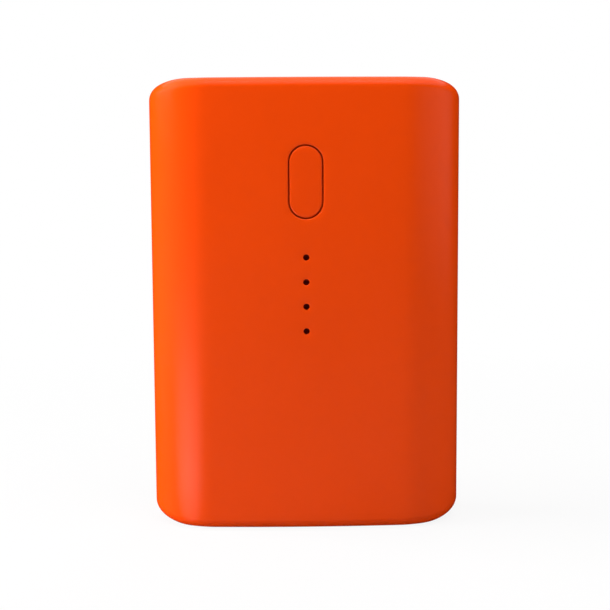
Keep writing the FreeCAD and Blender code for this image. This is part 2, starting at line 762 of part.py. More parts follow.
def main_board_screws():
    screws = []
    for x, z in board_screw_places():
        shank = rod_y(x, z, BOARD_SCREW_R, BOARD_FRONT, BOARD_SCREW_END)
        screws.append(shank.fuse(rod_y(x, z, BOARD_HEAD_R, BOARD_FRONT - BOARD_HEAD_H, BOARD_FRONT)))
    return Part.makeCompound(screws)


def port_plate():
    """The end plate: a flange under the top wall, the ports' openings and the cover's rebate."""
    plate = rounded_plate(PLATE_L, PLATE_W, PLATE_CORNER_R, 0, 0, PLATE_LOW, PLATE_TOP)
    reach_x, reach_y = PLATE_L/2 + PLATE_FLANGE, PLATE_W/2 + PLATE_FLANGE
    flange = box(-reach_x, reach_x, -reach_y, reach_y, PLATE_LOW, HEIGHT - WALL)
    plate = plate.fuse(flange.makeChamfer(PLATE_CORNER_R/2, upright_edges(flange)))
    low = PLATE_LOW - 1
    neck = NECK_W/2 + COVER_GAP
    leg_0, leg_1 = LEG_Y - LEG_T - COVER_UNDER, LEG_Y + COVER_UNDER
    cuts = [socket_block(PORT_CLEAR, low, HEIGHT),
            socket_block(COVER_MARGIN + COVER_GAP, MOUTH, HEIGHT),
            box(SOCKET_X - neck, SOCKET_X + neck, SOCKET_Y, leg_1, MOUTH, HEIGHT),
            box(SOCKET_X - neck, SOCKET_X + neck, leg_0, leg_1, low, HEIGHT),
            nail_scoop(),
            usb_a_block(PORT_CLEAR, low, HEIGHT),
            usb_c_block(PORT_CLEAR, low, HEIGHT)]
    return plate.cut(cuts)


def socket_block(grow, z0, z1):
    """The jump socket's outline, grown on every side."""
    return block_z(SOCKET_X, SOCKET_Y, 2*(SOCKET_HALF_L + grow), 2*(SOCKET_HALF_W + grow), z0, z1)


def nail_scoop():
    """A finger-nail notch beside the cover's free edge."""
    start = Vector(SOCKET_X - SCOOP_W/2, SOCKET_Y - COVER_HALF_W - COVER_GAP, PLATE_TOP)
    return Part.makeCylinder(SCOOP_R, SCOOP_W, start, Vector(1, 0, 0))


def usb_a_block(grow, z0, z1):
    return block_z(USB_A_X, 0, USB_A_W + 2*grow, USB_A_H + 2*grow, z0, z1)


def usb_c_block(grow, z0, z1):
    width, height = USB_C_W + 2*grow, USB_C_H + 2*grow
    reach = (width - height)/2
    bar = box(USB_C_X - reach, USB_C_X + reach, -height/2, height/2, z0, z1)
    ends = [rod_z(USB_C_X + s*reach, 0, height/2, z0, z1) for s in (-1, 1)]
    return bar.multiFuse(ends).removeSplitter()


def shell_ears(x, half, low):
    """Solder ears on a shell's two sides, resting on the rear face of the board."""
    ears = []
    for s in (-1, 1):
        x0, x1 = sorted((x + s*(half - SHELL_T), x + s*(half + SHELL_EAR)))
        ears.append(box(x0, x1, BOARD_REAR, BOARD_REAR + SHELL_EAR_T, low, low + SHELL_EAR_H))
    return ears


def usb_a_shell():
    shell = usb_a_block(0, USB_A_LOW, PLATE_TOP)
    shell = shell.multiFuse(shell_ears(USB_A_X, USB_A_W/2, USB_A_LOW + 2.0))
    return shell.cut(usb_a_block(-SHELL_T, USB_A_LOW + SHELL_T, HEIGHT))


def usb_a_tongue():
    z0 = USB_A_LOW + SHELL_T
    block = usb_a_block(-SHELL_T - FIT, z0, z0 + BLOCK_A_H)
    z1 = z0 + BLOCK_A_H + TONGUE_A_L
    return block.fuse(block_z(USB_A_X, TONGUE_A_OFF, TONGUE_A_W, TONGUE_A_T, z0, z1))


def usb_a_contacts():
    y = TONGUE_A_OFF - TONGUE_A_T/2 - CONTACT_T/2
    z0 = USB_A_LOW + SHELL_T + BLOCK_A_H
    strips = []
    for k in range(A_CONTACTS):
        x = USB_A_X + (k - (A_CONTACTS - 1)/2)*A_CONTACT_PITCH
        strips.append(block_z(x, y, A_CONTACT_W, CONTACT_T, z0, z0 + A_CONTACT_L))
    return Part.makeCompound(strips)


def usb_c_shell():
    shell = usb_c_block(0, USB_C_LOW, PLATE_TOP)
    shell = shell.multiFuse(shell_ears(USB_C_X, USB_C_W/2, USB_C_LOW + 1.0))
    return shell.cut(usb_c_block(-SHELL_T, USB_C_LOW + SHELL_T, HEIGHT))


def usb_c_tongue():
    z0 = USB_C_LOW + SHELL_T
    width = USB_C_H - 2*(SHELL_T + FIT)
    block = block_z(USB_C_X, 0, USB_C_W - USB_C_H, width, z0, z0 + BLOCK_C_H)
    return block.fuse(block_z(USB_C_X, 0, TONGUE_C_W, TONGUE_C_T, z0, z0 + BLOCK_C_H + TONGUE_C_L))


def usb_c_contacts():
    z0 = USB_C_LOW + SHELL_T + BLOCK_C_H
    middle = (TONGUE_C_T + CONTACT_T)/2
    strips = []
    for k in range(C_CONTACTS):
        x = USB_C_X + (k - (C_CONTACTS - 1)/2)*C_CONTACT_PITCH
        for y in (-middle, middle):
            strips.append(block_z(x, y, C_CONTACT_W, CONTACT_T, z0, z0 + C_CONTACT_L))
    return Part.makeCompound(strips)


def keyed_block(inset, z0, z1):
    """The jump socket's mouth, with two chamfered corners at its positive end."""
    half_l, half_w = SOCKET_L/2 - inset, SOCKET_W/2 - inset
    key = SOCKET_KEY - inset*(2 - math.sqrt(2))
    corners = [(half_l, half_w), (-half_l + key, half_w), (-half_l, half_w - key),
               (-half_l, -half_w + key), (-half_l + key, -half_w), (half_l, -half_w)]
    points = [Vector(SOCKET_X + x, SOCKET_Y + y, z0) for x, y in corners]
    return Part.Face(Part.makePolygon(points + points[:1])).extrude(Vector(0, 0, z1 - z0))


def jump_socket_housing():
    """A keyed box with an ear on each end that rests on the rear face of the main board."""
    middle = SOCKET_LOW + EAR_RISE + EAR_H/2
    ears = block_y(SOCKET_X, middle, 2*(SOCKET_HALF_L + EAR_W), EAR_H, BOARD_REAR, BOARD_REAR + EAR_T)
    block = socket_block(0, SOCKET_LOW, MOUTH).fuse(ears)
    cuts = [keyed_block(0, SOCKET_BED, HEIGHT)]
    cuts += [tail_block(x, TAIL_CLEAR, SOCKET_LOW - 1, SOCKET_BED + 1) for x in CONTACT_X]
    return block.cut(cuts)


def tail_block(x, grow, z0, z1):
    side = TAIL + 2*grow
    return block_z(x, SOCKET_Y, side, side, z0, z1)


def jump_contact(x):
    """A round contact pin with a chamfered tip and a square tail through the socket's floor."""
    shoulder = MOUTH - CONTACT_BELOW_MOUTH - CONTACT_TIP
    pin = rod_z(x, SOCKET_Y, CONTACT_R, SOCKET_BED, shoulder)
    nose = Part.makeCone(CONTACT_R, CONTACT_R - CONTACT_TIP, CONTACT_TIP, Vector(x, SOCKET_Y, shoulder))
    tail = tail_block(x, 0, SOCKET_LOW - TAIL_L, SOCKET_BED)
    return pin.multiFuse([nose, tail])


def busbar(x, way):
    """A copper strip from a contact's tail, bent down beside the board to the tab board."""
    x0, x1 = x - BUSBAR_W/2, x + BUSBAR_W/2
    out = way*(BUSBAR_OUT - abs(SOCKET_Y))
    y0, y1 = sorted((SOCKET_Y - way*BUSBAR_W/2, out))
    lug = box(x0, x1, y0, y1, LUG_LOW, LUG_HIGH)
    d0, d1 = sorted((out, out - way*BUSBAR_T))
    drop = box(x0, x1, d0, d1, TAB_BOARD_HIGH, LUG_HIGH)
    strip = lug.fuse(drop).removeSplitter()
    bend = [e for e in strip.Edges
            if abs(e.CenterOfMass.y - out) < 1e-6 and abs(e.CenterOfMass.z - LUG_HIGH) < 1e-6]
    strip = strip.makeChamfer(BUSBAR_T/2, bend)
    return strip.cut(tail_block(x, TAIL_CLEAR, LUG_LOW - 1, LUG_HIGH + 1))


def socket_cover():
    """The rubber flap: a lid flush with the plate and a skirt that plugs the socket's mouth."""
    low = PLATE_TOP - COVER_T
    lid = rounded_plate(2*COVER_HALF_L, 2*COVER_HALF_W, 1.0, SOCKET_X, SOCKET_Y, low, PLATE_TOP)
    outer = keyed_block(SKIRT_CLEAR, low - SKIRT_DEPTH, low + COVER_T/2)
    inner = keyed_block(SKIRT_CLEAR + SKIRT_WALL, low - SKIRT_DEPTH - 1, low)
    return lid.fuse(outer.cut(inner))


def cover_strap():
    """The flap's fixed end: a thin neck at the hinge, a leg through the plate and a cross bar."""
    x0, x1 = SOCKET_X - NECK_W/2, SOCKET_X + NECK_W/2
    neck = box(x0, x1, HINGE_Y, LEG_Y, HINGE_Z - NECK_T/2, HINGE_Z + NECK_T/2)
    bead = Part.makeCylinder(NECK_T/2, NECK_W, Vector(x0, HINGE_Y, HINGE_Z), Vector(1, 0, 0))
    leg = box(x0, x1, LEG_Y - LEG_T, LEG_Y, PLATE_LOW - BAR_T, HINGE_Z + NECK_T/2)
    middle = LEG_Y - LEG_T/2
    bar = box(x0, x1, middle - BAR_W/2, middle + BAR_W/2, PLATE_LOW - BAR_T, PLATE_LOW)
    return neck.multiFuse([bead, leg, bar]).removeSplitter()


def header_places():
    z = USB_A_LOW - HEADER_BELOW_USB
    return [(HEADER_X + (k - (HEADER_PINS - 1)/2)*HEADER_PITCH, z) for k in range(HEADER_PINS)]


def header_pin(x, z, grow):
    side = HEADER_PIN + 2*grow
    return block_y(x, z, side, side, KEY_REAR, BOARD_FRONT)


def link_header_blocks():
    """The two insulators of the pin header between the key board and the main board."""
    places = header_places()
    x0, x1 = places[0][0] - HEADER_PITCH, places[-1][0] + HEADER_PITCH
    z = places[0][1]
    blocks = [box(x0, x1, y, y + HEADER_T, z - HEADER_W/2, z + HEADER_W/2)
              for y in (KEY_REAR, BOARD_FRONT - HEADER_T)]
    holes = [header_pin(px, pz, FIT) for px, pz in places]
    return Part.makeCompound([block.cut(holes) for block in blocks])


def link_header_pins():
    return Part.makeCompound([header_pin(x, z, 0) for x, z in header_places()])


def transistor_places():
    low = PART_LOW + TRANSISTOR_H/2
    return [(TRANSISTOR_X + column*TRANSISTOR_PITCH_X, low + row*TRANSISTOR_PITCH_Z)
            for column in (0, 1) for row in (0, 1)]


def front_chip(x, z, width, height, thick):
    """A flat package on the front face of the main board."""
    return block_y(x, z, width, height, BOARD_FRONT - thick, BOARD_FRONT)


def power_transistors():
    return Part.makeCompound([front_chip(x, z, TRANSISTOR_W, TRANSISTOR_H, TRANSISTOR_T)
                              for x, z in transistor_places()])


def heat_spreader():
    places = transistor_places()
    half_w, half_h = TRANSISTOR_W/2 - SPREADER_EDGE, TRANSISTOR_H/2 - SPREADER_EDGE
    y1 = BOARD_FRONT - TRANSISTOR_T
    plate = box(places[0][0] - half_w, places[-1][0] + half_w, y1 - SPREADER_T, y1,
                places[0][1] - half_h, places[-1][1] + half_h)
    return plate.makeChamfer(SPREADER_T, edges_along_y(plate))


def boost_inductor():
    size = INDUCTOR_SIZE
    block = block_y(INDUCTOR_X, PART_LOW + size/2, size, size, BOARD_REAR, BOARD_REAR + INDUCTOR_H)
    return block.makeChamfer(size/8, edges_along_y(block))


def capacitors():
    """Two moulded block capacitors side by side."""
    z = PART_LOW + CAPACITOR_L/2
    return Part.makeCompound([block_y(x, z, CAPACITOR_W, CAPACITOR_L, BOARD_REAR, BOARD_REAR + CAPACITOR_H)
                              for x in (CAPACITOR_X, CAPACITOR_X + CAPACITOR_PITCH)])


def control_chip():
    return front_chip(CHIP_X, PART_LOW + CHIP_SIZE/2, CHIP_SIZE, CHIP_SIZE, CHIP_T)


def driver_chips():
    low = PART_LOW + DRIVER_L/2
    return Part.makeCompound([front_chip(DRIVER_X, z, DRIVER_W, DRIVER_L, DRIVER_T)
                              for z in (low, low + DRIVER_PITCH)])


PARTS = {
    "front_cover": front_cover,
    "rear_cover": rear_cover,
    "port_plate": port_plate,
    "power_button": power_button,
    "tact_switch_body": tact_switch_body,
    "tact_switch_plunger": tact_switch_plunger,
    "tact_switch_terminals": tact_switch_terminals,
    "light_guide": light_guide,
    "charge_lamps": charge_lamps,
    "key_board": key_board,
    "link_header_blocks": link_header_blocks,
    "link_header_pins": link_header_pins,
    "front_cell": lambda: cell(0),
    "middle_cell": lambda: cell(1),
    "rear_cell": lambda: cell(2),
    "cell_tapes": cell_tapes,
    "cell_tabs": cell_tabs,
    "tab_board": tab_board,
    "thermistor": thermistor,
    "insulation_sheet": insulation_sheet,
    "front_pad": front_pad,
    "rear_pad": rear_pad,
    "main_board": main_board,
    "main_board_screws": main_board_screws,
    "power_transistors": power_transistors,
    "heat_spreader": heat_spreader,
    "boost_inductor": boost_inductor,
    "capacitors": capacitors,
    "control_chip": control_chip,
    "driver_chips": driver_chips,
    "positive_busbar": lambda: busbar(CONTACT_X[0], 1),
    "negative_busbar": lambda: busbar(CONTACT_X[1], -1),
    "jump_socket_housing": jump_socket_housing,
    "positive_contact": lambda: jump_contact(CONTACT_X[0]),
    "negative_contact": lambda: jump_contact(CONTACT_X[1]),
    "socket_cover": socket_cover,
    "cover_strap": cover_strap,
    "usb_a_shell": usb_a_shell,
    "usb_a_tongue": usb_a_tongue,
    "usb_a_contacts": usb_a_contacts,
    "usb_c_shell": usb_c_shell,
    "usb_c_tongue": usb_c_tongue,
    "usb_c_contacts": usb_c_contacts,
}

os.makedirs("parts", exist_ok=True)
for name, make in PARTS.items():
    shape = make()
    print("%-22s valid %s solids %d volume %.1f" % (name, shape.isValid(), len(shape.Solids), shape.Volume))
    shape.exportStep(os.path.join("parts", name + ".step"))
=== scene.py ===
import json
import math

import bmesh
import bpy
from mathutils import Matrix, Vector
from mathutils.geometry import delaunay_2d_cdt
from mathutils.kdtree import KDTree


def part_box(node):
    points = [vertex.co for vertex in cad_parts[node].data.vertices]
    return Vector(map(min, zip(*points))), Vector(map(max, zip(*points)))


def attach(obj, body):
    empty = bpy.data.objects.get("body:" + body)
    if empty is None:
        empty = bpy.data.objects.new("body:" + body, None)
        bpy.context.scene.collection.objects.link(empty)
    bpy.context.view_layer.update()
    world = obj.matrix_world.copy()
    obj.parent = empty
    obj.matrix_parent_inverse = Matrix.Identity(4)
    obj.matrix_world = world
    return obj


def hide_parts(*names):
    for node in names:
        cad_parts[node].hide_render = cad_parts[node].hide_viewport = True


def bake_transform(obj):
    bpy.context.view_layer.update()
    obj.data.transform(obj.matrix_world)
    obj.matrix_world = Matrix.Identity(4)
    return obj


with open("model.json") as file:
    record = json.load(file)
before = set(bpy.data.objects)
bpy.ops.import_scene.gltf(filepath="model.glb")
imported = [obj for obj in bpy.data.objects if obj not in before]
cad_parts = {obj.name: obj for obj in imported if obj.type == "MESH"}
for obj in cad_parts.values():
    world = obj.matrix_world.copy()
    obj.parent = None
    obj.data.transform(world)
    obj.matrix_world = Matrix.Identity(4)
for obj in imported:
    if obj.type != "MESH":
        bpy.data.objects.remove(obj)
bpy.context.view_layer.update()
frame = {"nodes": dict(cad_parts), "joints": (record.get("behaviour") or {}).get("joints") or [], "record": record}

# A jump starter pack standing on a pale floor, seen from the front. Shapes are worked out in
# millimetres and become metres where a mesh is made.

nodes = frame["nodes"]

MM = 0.001

# The moulded housing
HALF_W = 38.0
HALF_D = 13.5
HEIGHT = 108.8
MID_Z = HEIGHT/2
CROWN_END = 23.2         # the crowned face ends and the elliptic side begins
CROWN_R = 400.0
SHOULDER_X = 28.2        # the flat of the ends stops here
SHOULDER_R = 21.0
LIMB_R = 4.0
EDGE_R = 2.4
WALL = 2.0

# The side's ellipse runs on from the crown without a kink. Beside the face it is fuller than the
# solids' round, and at its outer end up to 0.2 mm slimmer.
LEAN = math.asin(CROWN_END/CROWN_R)
JOIN_Y = HALF_D - CROWN_R*(1 - math.cos(LEAN))
JOIN_SHARE = math.tan(LEAN)*(HALF_W - CROWN_END)/JOIN_Y
TURN = math.acos(JOIN_SHARE/(1 - JOIN_SHARE))
SIDE_A = (HALF_W - CROWN_END)/(1 - math.cos(TURN))
SIDE_B = JOIN_Y/math.sin(TURN)
SIDE_X = HALF_W - SIDE_A

# Heights over the middle where the shoulder's and the limb's arcs have their centres
SHOULDER_RISE = MID_Z - SHOULDER_R
LIMB_X = HALF_W - LIMB_R
LIMB_RISE = SHOULDER_RISE + math.sqrt((SHOULDER_R - LIMB_R)**2 - (LIMB_X - SHOULDER_X)**2)
MEET = math.atan2(LIMB_RISE - SHOULDER_RISE, LIMB_X - SHOULDER_X)

# The seam between the two shells
LIP_IN = 1.15
LIP_T = 0.85
LIP_H = 1.6
LIP_CLEAR = 0.1
GROOVE = 0.35
GROOVE_DEPTH = 0.5
SEAM_ROUND = 0.15
SQUEEZE = 1.0            # the skin is drawn back from the seam over this depth
LIP_ENDS_AT = 28.4       # no lip beside the port plate

# Openings of the shells
OPENING_X = 27.0
OPENING_Y = 8.2
OPENING_R = 5.2
OPENING_ROUND = 0.3
BUTTON_Z = 84.1
BUTTON_W = 7.76
BUTTON_L = 16.96
BUTTON_GAP = 0.32
BUTTON_ROUND = 0.3
BUTTON_ROUND_STEPS = 5
CAP_SPACING = 0.9
FLANGE_T = 0.8
FLANGE_SPACING = 2.0
HOLE_ROUND = 0.22
LAMP_Z = (66.2, 60.3, 54.4, 48.5)
LAMP_R = 0.75
LAMP_ROUND = 0.12

# Strips that come in rows
BOW_STEPS = 10
STRIP_ROUND_STEPS = 2

# The rubber web over the flap's hinge
WEB_T = 0.4
WEB_INSET = 0.2          # from the ends of the strap
WEB_GRIP = 0.35          # how far it reaches into the lid and into the strap
WEB_STEPS = 12

# The photograph: its side and its focal length in pixels, and the camera's place from the pack's
# middle in pack widths, along the camera's own right, up and backward axes
PHOTO_SIDE = 610
FOCUS = 1217.0
CAMERA_PLACE = (-0.0017, -0.0124, 4.0)

# The room
WHITE = (1.0, 1.0, 1.0, 1.0)
FLOOR_GREY = (0.55, 0.55, 0.55, 1.0)
FLOOR_HALF = 6.0         # metres
FLOOR_GLOW = 0.90        # share of plain white in the floor beside the pack, rising to 1 further out
FLOOR_FADE = (0.05, 0.30)  # metres from the pack's middle where that begins and ends
ROOM_LIGHT = 0.07
CARD_STEPS = 36
CARD_ROWS = 12

# How finely the shells are divided
SIDE_STEPS = 30
CROWN_STEPS = 40
ROUND_STEPS = 12
WALL_STEPS = 44
FLAT_STEPS = 22
SHOULDER_STEPS = 10
SEAM_STEPS = 3
RIM_STEPS = 4
PILL_ARC_STEPS = 20
PILL_LINE_STEPS = 9
LAMP_STEPS = 28
OPENING_END_STEPS = 3
OPENING_ARC_STEPS = 16
OPENING_LINE_STEPS = 30
SKIN_SPACING = 1.5
POINT_ROOM = 0.55        # share of the spacing that a new point keeps from the border
HALVINGS = 40            # of the search for an angle

# Points closer than this are one point
SAME_MM = 1e-4           # in a draft, in millimetres
SAME_FLAT = 1e-6         # in the draft's triangulation, in millimetres
SAME_M = 1e-6            # in a CAD piece, in metres
SAME_STRIP_M = 1e-7      # in a strip, in metres

# The triangulation's output that holds only what the borders enclose
ENCLOSED = 1

# Faces that meet at a smaller angle than this are shaded as one, in degrees
DRAFT_SHARP = 35.0
PIECE_SHARP = 30.0

# Rounded edges of the pieces that are taken over from the CAD
EDGE_SEGMENTS = 3
EDGE_ANGLE = 25.0        # degrees between faces whose edge is rounded
FLAT_ANGLE = 1.0         # degrees between faces that are joined


class Draft:
    """Points and faces in millimetres that become one closed mesh."""

    def __init__(self):
        self.mesh = bmesh.new()

    def skin(self, rows, closed=False):
        """Faces between neighbouring rows of points that all have the same count."""
        laid = [[self.mesh.verts.new(point) for point in row] for row in rows]
        count = len(rows[0])
        for low, high in zip(laid, laid[1:]):
            for k in range(count if closed else count - 1):
                n = (k + 1) % count
                self.mesh.faces.new((low[k], low[n], high[n], high[k]))

    def patch(self, border, holes, spacing, lift):
        """A triangulated sheet inside a flat border, laid in space by lift(u, v)."""
        loops = [border] + holes
        points = [point for loop in loops for point in loop]
        edges, first = [], 0
        for loop in loops:
            edges += [(first + k, first + (k + 1) % len(loop)) for k in range(len(loop))]
            first += len(loop)
        tree = KDTree(len(points))
        for k, (u, v) in enumerate(points):
            tree.insert((u, v, 0), k)
        tree.balance()
        low_u, high_u = min(p[0] for p in border), max(p[0] for p in border)
        low_v, high_v = min(p[1] for p in border), max(p[1] for p in border)
        across = max(1, round((high_u - low_u)/spacing))
        along = max(1, round((high_v - low_v)/spacing))
        for i in range(1, across):
            for j in range(1, along):
                u = low_u + (high_u - low_u)*i/across
                v = low_v + (high_v - low_v)*j/along
                if tree.find((u, v, 0))[2] < POINT_ROOM*spacing or not inside(u, v, border):
                    continue
                if not any(inside(u, v, hole) for hole in holes):
                    points.append((u, v))
        flat = [Vector(point) for point in points]
        verts, _, faces, _, _, _ = delaunay_2d_cdt(flat, edges, [], ENCLOSED, SAME_FLAT)
        laid = [self.mesh.verts.new(lift(v.x, v.y)) for v in verts]
        for face in faces:
            u = sum(verts[k].x for k in face)/3
            v = sum(verts[k].y for k in face)/3
            if inside(u, v, border) and not any(inside(u, v, hole) for hole in holes):
                self.mesh.faces.new([laid[k] for k in face])

    def finish(self, name):
        """Joins the pieces of skin, closes what is left open and returns the object."""
        bm = self.mesh
        bmesh.ops.remove_doubles(bm, verts=bm.verts, dist=SAME_MM)
        bmesh.ops.dissolve_degenerate(bm, dist=SAME_MM, edges=bm.edges)
        rim = [edge for edge in bm.edges if edge.is_boundary]
        if rim:
            bmesh.ops.holes_fill(bm, edges=rim, sides=0)
        bmesh.ops.recalc_face_normals(bm, faces=bm.faces)
        bmesh.ops.scale(bm, vec=Vector((MM, MM, MM)), verts=bm.verts)
        return mesh_object(bm, name, DRAFT_SHARP)


def mesh_object(bm, name, sharp=PIECE_SHARP):
    """A linked object whose mesh is smooth but for edges sharper than an angle in degrees."""
    mesh = bpy.data.meshes.new(name)
    bm.to_mesh(mesh)
    bm.free()
    piece = bpy.data.objects.new(name, mesh)
    bpy.context.scene.collection.objects.link(piece)
    mesh.shade_smooth()
    mesh.set_sharp_from_angle(angle=math.radians(sharp))
    return piece


def inside(u, v, loop):
    """Whether a flat point lies inside a closed loop."""
    found = False
    for (u0, v0), (u1, v1) in zip(loop, loop[1:] + loop[:1]):
        if (v0 > v) != (v1 > v) and u < u0 + (v - v0)*(u1 - u0)/(v1 - v0):
            found = not found
    return found


def spread(start, end, steps):
    """Even steps from start to end, both included."""
    return [start + (end - start)*k/steps for k in range(steps + 1)]


def crown_y(x, inset=0.0):
    """Half depth of the crowned face at x."""
    return math.sqrt((CROWN_R - inset)**2 - x*x) - (CROWN_R - HALF_D)


def end_rise(x):
    """Height of the end surface over the middle of the housing at x."""
    out = max(0.0, abs(x) - SHOULDER_X)
    return SHOULDER_RISE + math.sqrt(SHOULDER_R**2 - out**2)


def inner_rise(x):
    """The same for the room inside the shells, with its own limb round."""
    out = max(0.0, abs(x) - SHOULDER_X)
    radius = SHOULDER_R - WALL
    if out <= radius*math.cos(MEET):
        return SHOULDER_RISE + math.sqrt(radius**2 - out**2)
    limb = max(0.0, (LIMB_R - WALL)**2 - (abs(x) - LIMB_X)**2)
    return LIMB_RISE + math.sqrt(limb)


def side_foot(angle, inset):
    """A point of the right side, moved inwards by inset, and its normal."""
    normal = Vector((math.cos(angle)/SIDE_A, -math.sin(angle)/SIDE_B, 0)).normalized()
    foot = Vector((SIDE_X + SIDE_A*math.cos(angle), -SIDE_B*math.sin(angle), 0))
    return foot - inset*normal, normal


def side_angle(inset, depth):
    """The angle at which the side, moved inwards by inset, reaches a depth from the seam."""
    low, high = 0.0, TURN
    for _ in range(HALVINGS):
        middle = (low + high)/2
        if -side_foot(middle, inset)[0].y < depth:
            low = middle
        else:
            high = middle
    return low


def feet(inset, start):
    """Points of the level section's front half from the right side to the left, with normals."""
    right = []
    for angle in spread(start, TURN, SIDE_STEPS):
        foot, normal = side_foot(angle, inset)
        right.append((foot, normal, 1 - angle/TURN))
    crown = []
    for angle in spread(LEAN, -LEAN, CROWN_STEPS)[1:-1]:
        normal = Vector((math.sin(angle), -math.cos(angle), 0))
        centre = Vector((0, CROWN_R - HALF_D, 0))
        crown.append((centre + (CROWN_R - inset)*normal, normal, 0.0))
    flip = Vector((-1, 1, 1))
    left = [(foot*flip, normal*flip, share) for foot, normal, share in reversed(right)]
    return right + crown + left


def end_round(foot, normal, share):
    """The rolled edge at one point of the section: from the wall up to the end surface."""
    radius = EDGE_R + (LIMB_R - EDGE_R)*share
    centre = foot - radius*normal
    out = max(0.0, abs(centre.x) - SHOULDER_X)
    rise = math.sqrt((SHOULDER_R - radius)**2 - out**2)
    centre.z = SHOULDER_RISE + rise
    top = Vector((math.copysign(out, centre.x), 0, rise)).normalized()
    angle = normal.angle(top)
    points = []
    for k in range(ROUND_STEPS + 1):
        t = k/ROUND_STEPS
        way = (math.sin((1 - t)*angle)*normal + math.sin(t*angle)*top)/math.sin(angle)
        points.append(centre + radius*way)
    return points


def seam_quarter(inset, start_x, wall_x):
    """A quarter of the parting outline, moved in by inset: x and the height over the middle."""
    flat = [(x, MID_Z - inset) for x in spread(start_x, SHOULDER_X, FLAT_STEPS)]
    radius = SHOULDER_R - inset
    shoulder = [(SHOULDER_X + radius*math.cos(a), SHOULDER_RISE + radius*math.sin(a))
                for a in spread(math.pi/2, MEET, SHOULDER_STEPS)[1:]]
    radius = LIMB_R - inset
    last = math.acos(min(1.0, (wall_x - LIMB_X)/radius))
    limb = [(LIMB_X + radius*math.cos(a), LIMB_RISE + radius*math.sin(a))
            for a in spread(MEET, last, ROUND_STEPS)[1:]]
    return flat + shoulder + limb


def seam_loop(inset, y, top_x, wall_x=None):
    """The parting outline from the right of the top opening round the foot to its left."""
    wall_x = HALF_W - inset if wall_x is None else wall_x
    top = seam_quarter(inset, top_x, wall_x)
    foot = seam_quarter(inset, 0.0, wall_x)
    high = top[-1][1]
    wall = [(wall_x, h) for h in spread(high, -high, WALL_STEPS)[1:-1]]
    right = top + wall + [(x, -h) for x, h in reversed(foot)]
    left = [(-x, h) for x, h in reversed(right[:-1])]
    return [Vector((x, y, MID_Z + h)) for x, h in right + left]


def pill_loop(grow):
    """The button's outline in x and z, grown on every side."""
    radius = BUTTON_W/2 + grow
    reach = (BUTTON_L - BUTTON_W)/2
    loop = []
    for side in (1, -1):
        for a in spread(0, math.pi, PILL_ARC_STEPS):
            loop.append((side*radius*math.cos(a), BUTTON_Z + side*(reach + radius*math.sin(a))))
        for z in spread(reach, -reach, PILL_LINE_STEPS)[1:-1]:
            loop.append((-side*radius, BUTTON_Z + side*z))
    return loop


def lamp_loop(z, grow):
    """The outline of the lamp hole at height z, grown on every side."""
    radius = LAMP_R + grow
    return [(radius*math.cos(math.tau*k/LAMP_STEPS), z + radius*math.sin(math.tau*k/LAMP_STEPS))
            for k in range(LAMP_STEPS)]


def opening_half(grow, start_y):
    """The front half of the top opening, from the right end of the seam to the left."""
    half_x, half_y, radius = OPENING_X + grow, OPENING_Y + grow, OPENING_R + grow
    straight = half_y - radius
    right = [(half_x, -y) for y in spread(start_y, straight, OPENING_END_STEPS)[:-1]]
    right += [(half_x - radius*(1 - math.cos(a)), -straight - radius*math.sin(a))
              for a in spread(0, math.pi/2, OPENING_ARC_STEPS)]
    line = spread(half_x - radius, -half_x + radius, OPENING_LINE_STEPS)[1:-1]
    return right + [(x, -half_y) for x in line] + [(-x, y) for x, y in reversed(right)]


def end_patch(draft, contact, line, rise, sign, opening):
    """One end surface between the rolled edge, the seam and, on top, the port opening."""
    border = [(p.x, p.y) for p in contact]
    left = [(-x, y) for x, y in line]
    if opening:
        border += left[1:] + opening[::-1][1:-1] + line[::-1][:-1]
    else:
        border += left[1:-1] + line[::-1][:-1]
    draft.patch(border, [], SKIN_SPACING, lambda x, y: Vector((x, y, MID_Z + sign*rise(x))))


def rounded_rim(outline, size, lift):
    """A quarter round from a face into a hole: outline(grow) gives its loops."""
    rows = []
    for t in spread(0, math.pi/2, RIM_STEPS):
        depth = size*(1 - math.cos(t))
        rows.append([lift(u, v, depth) for u, v in outline(size*(1 - math.sin(t)))])
    return rows


def drawn_back(y, start):
    """Where the skin at depth y goes when its last millimetre is drawn back to -start."""
    return -start + y*(SQUEEZE - start)/SQUEEZE if y > -SQUEEZE else y


